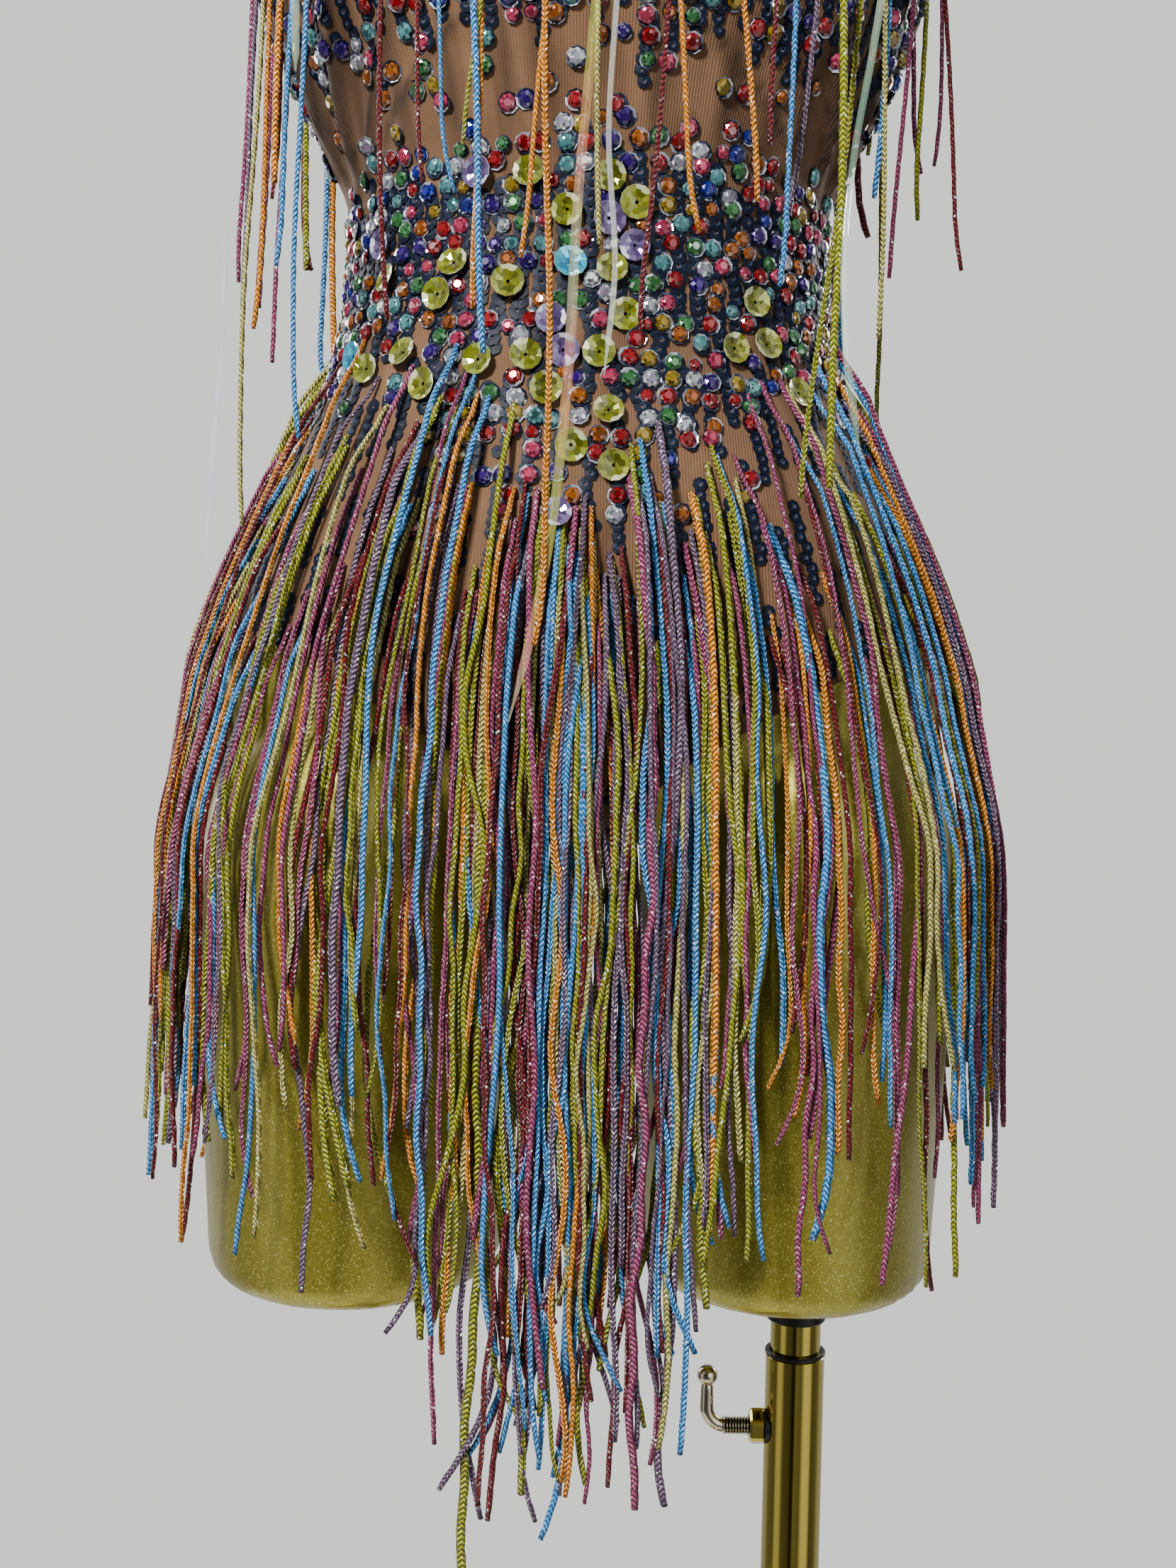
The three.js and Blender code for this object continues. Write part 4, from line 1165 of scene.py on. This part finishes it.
def cord_rings(path, radius):
    """Rings of a cord along a path, each turned half a side from the last, and where they lie along it."""
    lengths = lengths_along(path)
    count = max(4, int(lengths[-1] / CORD_STEP))
    where = np.linspace(0, lengths[-1], count)
    centre = np.stack([np.interp(where, lengths, path[:, k]) for k in range(3)], -1)
    tangent = unit(np.gradient(centre, axis=0))
    side = unit(np.cross(tangent, [0.31, 0.95, 0.05]))
    other = np.cross(tangent, side)
    turn = np.arange(CORD_RING) * 2 * math.pi / CORD_RING
    odd = np.arange(count) % 2
    spin = turn[None, :] + (odd * math.pi / CORD_RING)[:, None]
    thick = radius * (1 + 0.035 * np.where(odd, 1, -1))
    thick[0] *= 0.8
    thick[-1] *= 0.85
    rings = centre[:, None] + thick[:, None, None] * (np.cos(spin)[..., None] * side[:, None] * 1.1
                                                      + np.sin(spin)[..., None] * other[:, None] * 0.9)
    return rings, spin / (2 * math.pi), where


def cord_corners(spin, where):
    """Corner coordinates of a cord's quads: turns round it, and millimetres along it."""
    start = RNG.uniform(0, 1)
    low, high = spin[:-1] + start, spin[1:] + start
    side = 1 / CORD_RING
    z_low = np.broadcast_to(where[:-1, None], low.shape)
    z_high = np.broadcast_to(where[1:, None], low.shape)
    corners = [(low, z_low), (low + side, z_low), (high + side, z_high), (high, z_high)]
    return np.stack([np.stack(corner, -1) for corner in corners], 2).reshape(-1, 2)


class CordSet:
    """Cords gathered by colour, and joined in one piece for each colour."""

    def __init__(self):
        self.by_colour = {name: [] for name in CORD_COLOURS}

    def add(self, colour, path, radius):
        self.by_colour[colour].append(cord_rings(np.asarray(path, float), radius))

    def build(self, prefix):
        built = []
        for name, cords in self.by_colour.items():
            points, faces, corners, start = [], [], [], 0
            for rings, spin, where in cords:
                rows = len(rings)
                faces.extend(ring_faces(rows, CORD_RING, start))
                faces.append(start + np.arange(CORD_RING)[::-1])
                faces.append(start + (rows - 1) * CORD_RING + np.arange(CORD_RING))
                corners.append(cord_corners(spin, where))
                corners.append(np.zeros((2 * CORD_RING, 2)))
                points.append(rings.reshape(-1, 3))
                start += rows * CORD_RING
            obj = mesh_object(f"{prefix}_{name}", np.concatenate(points), faces,
                              corner_uv=np.concatenate(corners))
            obj.data.materials.append(CORD_MATERIALS[name])
            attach(obj, "figure")
            built.append(obj)
        return built


CORD_MATERIALS = {name: cord_material(name, color) for name, color in CORD_COLOURS.items()}
CORD_SHARES = {"lime": 0.165, "sky": 0.185, "mauve": 0.17, "dusk": 0.12, "burgundy": 0.145, "orange": 0.11,
               "cream": 0.105}


def pick_colour():
    return list(CORD_SHARES)[draw(CORD_SHARES)]


def wobble(length, size):
    """A gentle random wave along a cord, growing from its root."""
    total = 0.0
    for wave_length, share in ((210.0, 1.0), (95.0, 0.45), (42.0, 0.16)):
        wave = np.sin(length / wave_length * 2 * math.pi + RNG.uniform(0, 6.28))
        total = total + share * wave * RNG.normal(0, 1)
    return size * total * smoothstep(0, 160, length)


# Height at which hip cords leave the body, heights over which they move out to the hang line, and how a
# cord bends: the height where that starts, its length, and the length of the curled end
HIP_FREE = 790
HIP_BLEND = (850, 762)
HIP_FALL = {"start": 800, "length": 250, "curl": 42}


def hip_path(angle, root_z, lift, end_z, lean, flare, curl):
    """From its root down the cloth and over the hip, then hanging, with a wave and a curled end."""
    heights = np.arange(root_z, HIP_FREE, -8.0)
    drop = (root_z - heights) / (root_z - HIP_FREE)
    angles = angle + RNG.normal(0, 0.02) * drop
    near = cloth_points(angles, heights, 0)
    reach = np.hypot(near[:, 0], near[:, 1])
    widest = np.maximum.accumulate(reach)
    rise = 1.6 + (lift - 1.6) * smoothstep(0, 26, root_z - heights)
    out = near[:, :2] * ((widest + rise) / reach)[:, None]
    below = np.arange(heights[-1] - 6, end_z, -7.0)
    z = np.concatenate([heights, below])
    base = np.concatenate([out, np.repeat(out[-1:], len(below), 0)])
    target = clear_of_thighs(out[-1], lift)
    share = smoothstep(*HIP_BLEND, z)[:, None]
    flat = base * (1 - share) + target * share
    fall = np.clip((HIP_FALL["start"] - z) / HIP_FALL["length"], 0, 1.3)
    aside = np.array([-np.sin(angle), np.cos(angle)])
    away = np.array([np.cos(angle), np.sin(angle)])
    length = root_z - z
    sideways = lean * fall + wobble(length, 2.6)
    end = np.clip((end_z + HIP_FALL["curl"] - z) / HIP_FALL["curl"], 0, 1) ** 2
    flat = flat + aside * (sideways + curl * end)[:, None]
    flat = flat + away * (flare * fall + np.abs(wobble(length, 0.8)))[:, None]
    return np.column_stack([flat, z])


HIP_CORDS_A_SIDE = 268
# Heights of the roots: at the sides, how far they drop at the front and at the very middle, and the lowest
HIP_ROOTS = {"side": 985, "front_drop": 26, "middle_dip": 52, "low": 846}
HIP_RADII = [0.82, 1.0, 1.15, 1.5]
HIP_RADIUS_SHARES = [0.2, 0.42, 0.31, 0.07]
HIP_ENDS = {"side": 622.0, "thigh": 600.0, "middle": 512.0, "spread": 112.0}


def hip_end(inner):
    """Height of a cord's end: lowest in the middle, higher over the thighs and at the sides."""
    over_thigh = smoothstep(0.15, 0.6, inner)
    middle = smoothstep(0.925, 0.992, inner)
    lowest = HIP_ENDS["side"] + (HIP_ENDS["thigh"] - HIP_ENDS["side"]) * over_thigh
    lowest = lowest + (HIP_ENDS["middle"] - HIP_ENDS["thigh"]) * middle
    longer = 22.0 if RNG.uniform() < 0.08 else 0.0
    return lowest - longer + HIP_ENDS["spread"] * RNG.uniform() ** 0.85


def hip_angles(middle):
    """Even places along the hip line, closer together near the middle."""
    aside = np.linspace(-math.pi / 2, math.pi / 2, 400)
    x, y = hang_points(middle + aside)
    step = np.hypot(np.diff(x), np.diff(y)) * (1 + 0.55 * bump(aside[1:] / 0.42))
    reach = np.concatenate([[0], np.cumsum(step)])
    places = (np.arange(HIP_CORDS_A_SIDE) + RNG.uniform(0.1, 0.9, HIP_CORDS_A_SIDE)) / HIP_CORDS_A_SIDE
    return np.interp(places * reach[-1], reach, aside)


def build_hip_fringe():
    """Cords rooted all over the hips, from the waist's sides down to the middle, all round."""
    cords = CordSet()
    for facing in (-1, 1):
        middle = facing * math.pi / 2
        for aside in hip_angles(middle):
            inner = math.cos(aside)
            top = HIP_ROOTS["side"] - HIP_ROOTS["front_drop"] * inner ** 2
            top = top - HIP_ROOTS["middle_dip"] * bump(aside / 0.17)
            root_z = top - (top - HIP_ROOTS["low"]) * RNG.uniform() ** 0.8
            lift = 2.6 + 6.5 * (top - root_z < 45) * RNG.uniform(0.4, 1) + RNG.uniform(0, 4)
            strays = RNG.uniform() < 0.16
            lean = RNG.normal(0, 16 if strays else 4.5)
            flare = abs(RNG.normal(0, 4)) + 5 * abs(math.sin(aside)) ** 3
            radius = float(RNG.choice(HIP_RADII, p=HIP_RADIUS_SHARES))
            end_z = hip_end(inner)
            path = hip_path(middle + aside, root_z, lift, end_z, lean, flare, RNG.normal(0, 6))
            cords.add(pick_colour(), path, radius)
    cords.add("lime", hip_path(FRONT - 0.16, 884, 6, 420, -2, 1, 0), 1.7)
    pieces = cords.build("hip_cords")
    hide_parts("hip_fringe_front_1", "hip_fringe_front_2", "hip_fringe_front_3",
                "hip_fringe_back_1", "hip_fringe_back_2", "hip_fringe_back_3")


CHEST_HALF = 139
UPPER_ROW, BUST_ROW = 1262, 1172
# Cords of the chest that show in the picture: place across at the top edge, colour, end height, radius as
# it shows, and drift aside. The first three sizes are read at the depth of the form's middle.
CHEST_CORDS_FRONT = [
    (-88, "burgundy", 982, 1.5, 3), (-72, "burgundy", 1046, 1.3, 0), (-68, "sky", 1044, 1.2, 8),
    (-54, "sky", 974, 1.9, 8), (-47, "orange", 992, 1.6, 0), (-38, "lime", 1058, 1.2, -17),
    (-20, "orange", 856, 1.8, 2), (-12, "orange", 1018, 1.5, -13), (3, "cream", 1022, 1.6, 0),
    (30, "orange", 1030, 1.6, 12), (36, "burgundy", 988, 1.4, -10), (54, "orange", 1040, 1.6, 18),
    (80, "burgundy", 1062, 1.4, -9), (83, "sky", 1000, 1.5, 0), (96, "dusk", 1032, 1.4, -11),
    (101, "lime", 916, 2.3, 1), (113, "lime", 914, 1.6, -13), (118, "cream", 974, 1.4, 0),
    (120, "sky", 1030, 1.6, -4), (131, "mauve", 998, 1.4, -7), (135, "lime", 1026, 1.5, -4),
    (139, "burgundy", 1000, 1.4, 12), (140, "mauve", 1048, 1.3, 4),
    (-118, "sky", 1004, 1.6, -6), (-123, "orange", 1032, 2.1, -4), (-127, "orange", 974, 1.6, -6),
    (-125, "burgundy", 1028, 1.3, 0), (-132, "dusk", 978, 1.4, -8), (-135, "mauve", 992, 1.4, -6),
    (-130, "cream", 898, 1.5, -6), (-114, "sky", 932, 1.5, -3), (-120, "mauve", 960, 1.4, -4),
]


def bust_reach(x, facing):
    """Depth of a cord that hangs over the bust or the shoulder blades at a distance from the middle."""
    points = cloth_points(np.linspace(0, math.pi, 181) * facing, 1187.0 if facing < 0 else 1215.0)
    order = np.argsort(points[:, 0])
    x = np.clip(x, -CHEST_HALF, CHEST_HALF)
    return float(np.interp(x, points[order, 0], points[order, 1]))


def root_height(x):
    """Height of a chest cord's root, on the upper row or the bust row."""
    return UPPER_ROW if abs(x) < 100 and RNG.uniform() < 0.5 else BUST_ROW


def nearer(x, value, middle):
    """A size read at the depth of the form's middle, drawn in to the depth at which the chest cords hang."""
    share = (VIEW["distance"] + bust_reach(x, -1) - 6.0) / VIEW["distance"]
    return middle + (value - middle) * share


# Heights at which chest cords leave the cloth, heights over which they take the bust's depth, and how a
# cord bends: the height where that starts, its length, and the length of the curled end
CHEST_FREE = 1180
CHEST_BLEND = (1215, 1170)
CHEST_FALL = {"start": 1124, "length": 140, "curl": 30}


def chest_path(x, facing, root_z, end_z, lift, drift, curl):
    """From its root down the cloth to the bust line, then hanging, with a drift aside and a curled end."""
    heights = np.arange(root_z, end_z, -7.0)
    hang_y = bust_reach(x, facing) + facing * lift
    angle_start = math.atan2(hang_y * 1.15, x)
    near = cloth_points(np.full(len(heights), angle_start), heights, 1.6)
    limit = facing * np.maximum.accumulate(np.where(heights > CHEST_FREE, facing * near[:, 1], -1e9))
    over = smoothstep(*CHEST_BLEND, heights)
    off_cloth = facing * (lift - 1.6) * smoothstep(0, 25, root_z - heights)
    y = np.where(heights > CHEST_FREE, limit + off_cloth, hang_y)
    y = y * (1 - over) + hang_y * over
    fall = np.clip((CHEST_FALL["start"] - heights) / CHEST_FALL["length"], 0, 1.6)
    wave = 1.4 * np.sin(fall * 4 + x) * np.clip(fall, 0, 1)
    end = np.clip((end_z + CHEST_FALL["curl"] - heights) / CHEST_FALL["curl"], 0, 1) ** 2
    return np.column_stack([x + drift * fall + wave + curl * end, y, heights])


def build_chest_fringe():
    """Cords from the upper chest and the bust line: placed ones at the front, scattered ones behind."""
    cords = CordSet()
    for x, colour, end_z, radius, drift in CHEST_CORDS_FRONT:
        root_z = root_height(x)
        low = nearer(x, end_z, VIEW["aim_z"])
        x = nearer(x, x, VIEW["aim_x"])
        cords.add(colour, chest_path(x, -1, root_z - RNG.uniform(0, 12), low, RNG.uniform(3.5, 8), drift,
                                     RNG.normal(0, 2)), radius * 0.62)
    for x in np.linspace(-138, 138, 46):
        root_z = root_height(x)
        cords.add(pick_colour(), chest_path(x + RNG.normal(0, 2), 1, root_z, RNG.uniform(925, 1070),
                                            RNG.uniform(3.5, 8), RNG.normal(0, 4), RNG.normal(0, 4)),
                  float(RNG.choice([1.05, 1.25, 1.5])))
    for x in np.linspace(-96, 96, 22):
        cords.add(pick_colour(), chest_path(x + RNG.normal(0, 3), -1, UPPER_ROW, RNG.uniform(1128, 1190),
                                            RNG.uniform(3.5, 8), 0, RNG.normal(0, 3)), 1.15)
    pieces = cords.build("chest_cords")
    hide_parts("chest_fringe_front_1", "chest_fringe_front_2", "chest_fringe_back_1",
                "chest_fringe_back_2")


# The stand

def lathe(name, profile, sides, x, mat, body, node=None):
    """A turned piece from a closed profile of radius and height."""
    rings = np.concatenate([polar(radius, sides, float(height), x=x) for radius, height in profile])
    obj = mesh_object(name, rings, ring_faces(len(profile) + 1, sides) % len(rings))
    outward(obj)
    edge_normals(obj)
    obj.data.materials.append(mat)
    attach(obj, body)
    if node:
        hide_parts(node)
    return obj


def sleeve(bore, radius, low, high, low_edge, high_edge):
    """Profile of a bar or tube with bevelled ends. An edge is how far its bevel goes in and along."""
    return [(bore, low), (radius - low_edge[0], low), (radius, low + low_edge[1]),
            (radius, high - high_edge[1]), (radius - high_edge[0], high), (bore, high)]


# Radii of the stand: its solid middle, the tube's bore and outside, the mast, the collar, the plate and the
# circle of the flange's screws
SOLID = 0.01
BORE = 11
TUBE = 12.5
MAST = 10.7
COLLAR = 12.6
PLATE = 190
FLANGE_SCREWS = 27
PLATE_HEIGHT = 6
ROUND_SIDES = 96


def build_stand():
    """The mast and its collar, and the tube with its ring, flange, plate, nut and clamp screw."""
    lathe("tube", sleeve(BORE, TUBE, 6.3, 548.5, (0.3, 0.3), (0.4, 0.4)),
          ROUND_SIDES, POLE_X, POLISHED_GOLD, "stand", "stand_tube")
    lathe("mast_bar", sleeve(SOLID, MAST, 250, 676.7, (0.5, 0.5), (0.5, 0.5)),
          ROUND_SIDES, POLE_X, POLISHED_GOLD, "mast", "mast")
    lathe("collar", sleeve(BORE, COLLAR, 564.0, 586.7, (0.4, 0.5), (0.4, 0.6)),
          ROUND_SIDES, POLE_X, BLACK, "figure", "mast_collar")
    ring = [(BORE, 548.8), (12.6, 548.8), (12.9, 549.1), (12.9, 550.0), (12.6, 550.4), (12.1, 550.5),
            (BORE, 550.3)]
    lathe("ring", ring, ROUND_SIDES, POLE_X, BLACK, "stand", "tube_ring")
    edge = 1.6
    plate = [(SOLID, 0), (PLATE - 1.4, 0), (PLATE, 0.8), (PLATE, PLATE_HEIGHT - edge),
             (PLATE - edge * 0.4, PLATE_HEIGHT - edge * 0.35), (PLATE - edge, PLATE_HEIGHT),
             (SOLID, PLATE_HEIGHT)]
    lathe("plate", plate, 160, 0, POLISHED_GOLD, "stand", "base_plate")
    flange = [(12.8, 6.3), (33.4, 6.3), (34, 6.9), (34, 10.3), (33, 11.3), (20.5, 11.3), (18, 12.6),
              (17, 15), (17, 39), (16.2, 40), (12.8, 40)]
    lathe("flange", flange, ROUND_SIDES, POLE_X, POLISHED_GOLD, "stand", "base_flange")
    screw_head = [(SOLID, 11.2), (3.9, 11.2), (3.9, 12.2), (3.2, 13.4), (1.6, 14.0), (SOLID, 14.1)]
    for index in range(3):
        turn = math.pi / 2 + index * 2 * math.pi / 3
        x, y = POLE_X + FLANGE_SCREWS * math.cos(turn), FLANGE_SCREWS * math.sin(turn)
        screw = lathe(f"flange_screw_{index}", screw_head, 32, 0, PALE_GOLD, "stand")
        screw.data.transform(Matrix.Translation((x * MM, y * MM, 0)))
    build_nut()
    build_screw()


def build_nut():
    """A hexagon nut with rounded corners, and a black washer that fits the tube."""
    across, outer_x, washer_x, inner_x = 14.0, 79.0, 85.2, 88.5
    corner = across / math.sqrt(3)
    sides = 48
    turn = circle(sides)
    sector = (turn + math.pi / 6) % (math.pi / 3) - math.pi / 6
    hexagon = np.minimum(across / 2 / np.cos(sector), corner * 0.965)
    rings = [(outer_x, 0.86), (outer_x + 0.9, 1.0), (washer_x - 0.7, 1.0), (washer_x, 0.93)]
    nut = loft("nut", np.stack([clamp_ring(x, hexagon * share, turn) for x, share in rings]))
    washer = loft("nut_washer", np.stack([clamp_ring(x, 7.3, turn) for x in (washer_x + 0.1, inner_x)]))
    for piece, mat, slot in ((nut, POLISHED_GOLD, "polished_gold"), (washer, BLACK, "black_plastic")):
        outward(piece)
        cut(piece, loft("tube_space", tube_rings(12.8, CLAMP_Z - 20, CLAMP_Z + 20, POLE_X, 96)))
        cut(piece, rod_between("nut_bore", 70, 90, 4.35, 48))
        shade_smooth(piece.data)
        edge_normals(piece, 28)
        paint(piece, mat)
        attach(piece, "stand")
    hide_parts("clamp_nut")


def clamp_ring(x, reach, turn):
    """A ring round the clamp's axis."""
    return np.stack([np.full(len(turn), x), np.cos(turn) * reach, CLAMP_Z + np.sin(turn) * reach], -1)


def rod_between(name, low_x, high_x, radius, sides):
    obj = loft(name, np.stack([clamp_ring(x, radius, circle(sides)) for x in (low_x, high_x)]))
    outward(obj)
    return obj


def build_screw():
    """The clamp screw: a cut thread, a bent rod and a ball on its end, swept as one body."""
    tip, thread_end, bend_x, ball_z = 86.9, 68.0, 60.5, 538.2
    rod, bend, ball, thread = 2.9, 8.0, 4.4, 3.95
    pitch = 1.25
    centres, radii = [], []
    for x in np.arange(tip, thread_end, -pitch / 4):
        groove = abs(((tip - x) / pitch) % 1 - 0.5) * 2
        centres.append((x, CLAMP_Z))
        radii.append(thread - 0.8 * (1 - groove) if x < tip - 0.6 else thread - 0.7)
    for x in np.linspace(thread_end - 0.8, bend_x + bend, 6):
        centres.append((x, CLAMP_Z))
        radii.append(rod)
    for turn in np.linspace(0, math.pi / 2, 14)[1:]:
        centres.append((bend_x + bend - bend * math.sin(turn), CLAMP_Z + bend - bend * math.cos(turn)))
        radii.append(rod)
    start = ball_z - math.sqrt(ball ** 2 - 2.2 ** 2)
    for z in np.linspace(CLAMP_Z + bend, start - 1.2, 8)[1:]:
        centres.append((bend_x, z))
        radii.append(rod - 0.3 * (z - CLAMP_Z - bend) / (start - CLAMP_Z - bend))
    for turn in np.linspace(math.pi - math.asin(2.2 / ball), 0.05, 18):
        centres.append((bend_x, ball_z + ball * math.cos(turn)))
        radii.append(ball * math.sin(turn))
    centres, radii = np.array(centres), np.array(radii)
    tangent = unit(np.gradient(centres, axis=0))
    sides = 40
    turn = circle(sides)
    across = np.stack([-tangent[:, 1], np.zeros(len(tangent)), tangent[:, 0]], -1)
    centre3 = np.stack([centres[:, 0], np.zeros(len(centres)), centres[:, 1]], -1)
    rings = centre3[:, None] + radii[:, None, None] * (np.cos(turn)[None, :, None] * across[:, None]
                                                       + np.sin(turn)[None, :, None] * np.array([0, 1.0, 0]))
    screw = loft("screw", rings)
    outward(screw)
    edge_normals(screw, 50)
    screw.data.materials.append(screw_steel(pitch, thread_end, tip))
    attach(screw, "clamp_screw")
    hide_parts("clamp_screw")


# Film strips

FILM_STRIPS = [
    ([(6, 1190), (2, 1070), (-3, 1000), (-6, 932), (-11, 882), (-19, 840), (-24, 820)], 3.6, "lime_pink"),
    ([(13, 1190), (9, 1070), (7, 1024), (10, 974), (7, 940)], 2.2, "clear"),
    ([(-110, 1176), (-106, 1100), (-105, 1074), (-104, 1048)], 3.0, "green"),
    ([(109, 1176), (105, 1094), (100, 1060), (93, 1020), (90, 984), (92, 948), (98, 916)], 3.0, "green"),
    ([(-144, 1010), (-145, 958), (-147, 925), (-150, 872)], 2.4, "lilac"),
]


def build_films():
    """Thin iridescent strips that hang among the chest cords."""
    tints = {
        "lime_pink": [(0.62, 0.75, 0.10), (0.90, 0.50, 0.16), (0.90, 0.36, 0.30), (0.6, 0.8, 0.4)],
        "clear": [(0.9, 0.95, 0.95), (0.95, 0.85, 0.7), (0.8, 0.95, 0.85)],
        "green": [(0.35, 0.62, 0.45), (0.5, 0.8, 0.55), (0.75, 0.95, 0.7)],
        "lilac": [(0.6, 0.5, 0.85), (0.75, 0.7, 0.9), (0.5, 0.45, 0.8)],
    }
    for index, (line, width, tint) in enumerate(FILM_STRIPS):
        path = curve_through(line, 60)
        share = np.linspace(0, 1, len(path))
        x, z = path[:, 0], path[:, 1]
        y = np.array([bust_reach(v, -1) for v in x]) - 9.5 - 3 * np.sin(share * 5 + index)
        twist = 0.5 * np.sin(share * 4.5 + index * 1.7)
        half = width / 2 * np.clip((1 - share) * 18, 0.25, 1)
        left = np.stack([x - half * np.cos(twist), y - half * np.sin(twist), z], -1)
        right = np.stack([x + half * np.cos(twist), y + half * np.sin(twist), z], -1)
        thin = np.array([0, 0.12, 0])
        rings = np.stack([left, right, right + thin, left + thin], 1)
        tone = np.repeat(np.clip(0.5 + 0.4 * np.sin(share[:-1] * 14 + index), 0, 1), 4)
        faces = list(ring_faces(len(path), 4))
        last = (len(path) - 1) * 4
        faces += [(3, 2, 1, 0), (last, last + 1, last + 2, last + 3)]
        strip = mesh_object(f"film_strip_{index}", rings.reshape(-1, 3), faces, True,
                            face_values={"facet": np.concatenate([tone, [0.5, 0.5]])})
        outward(strip)
        mat = rainbow_material(f"film_{tint}_{index}", tints[tint], 0.06, 0.2, 0.14)
        strip.data.materials.append(mat)
        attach(strip, "figure")


add_camera()
add_floor()
add_lights()
build_form()
panels = build_suit()
build_stones()
build_navy()
build_hip_fringe()
build_chest_fringe()
build_films()
build_stand()
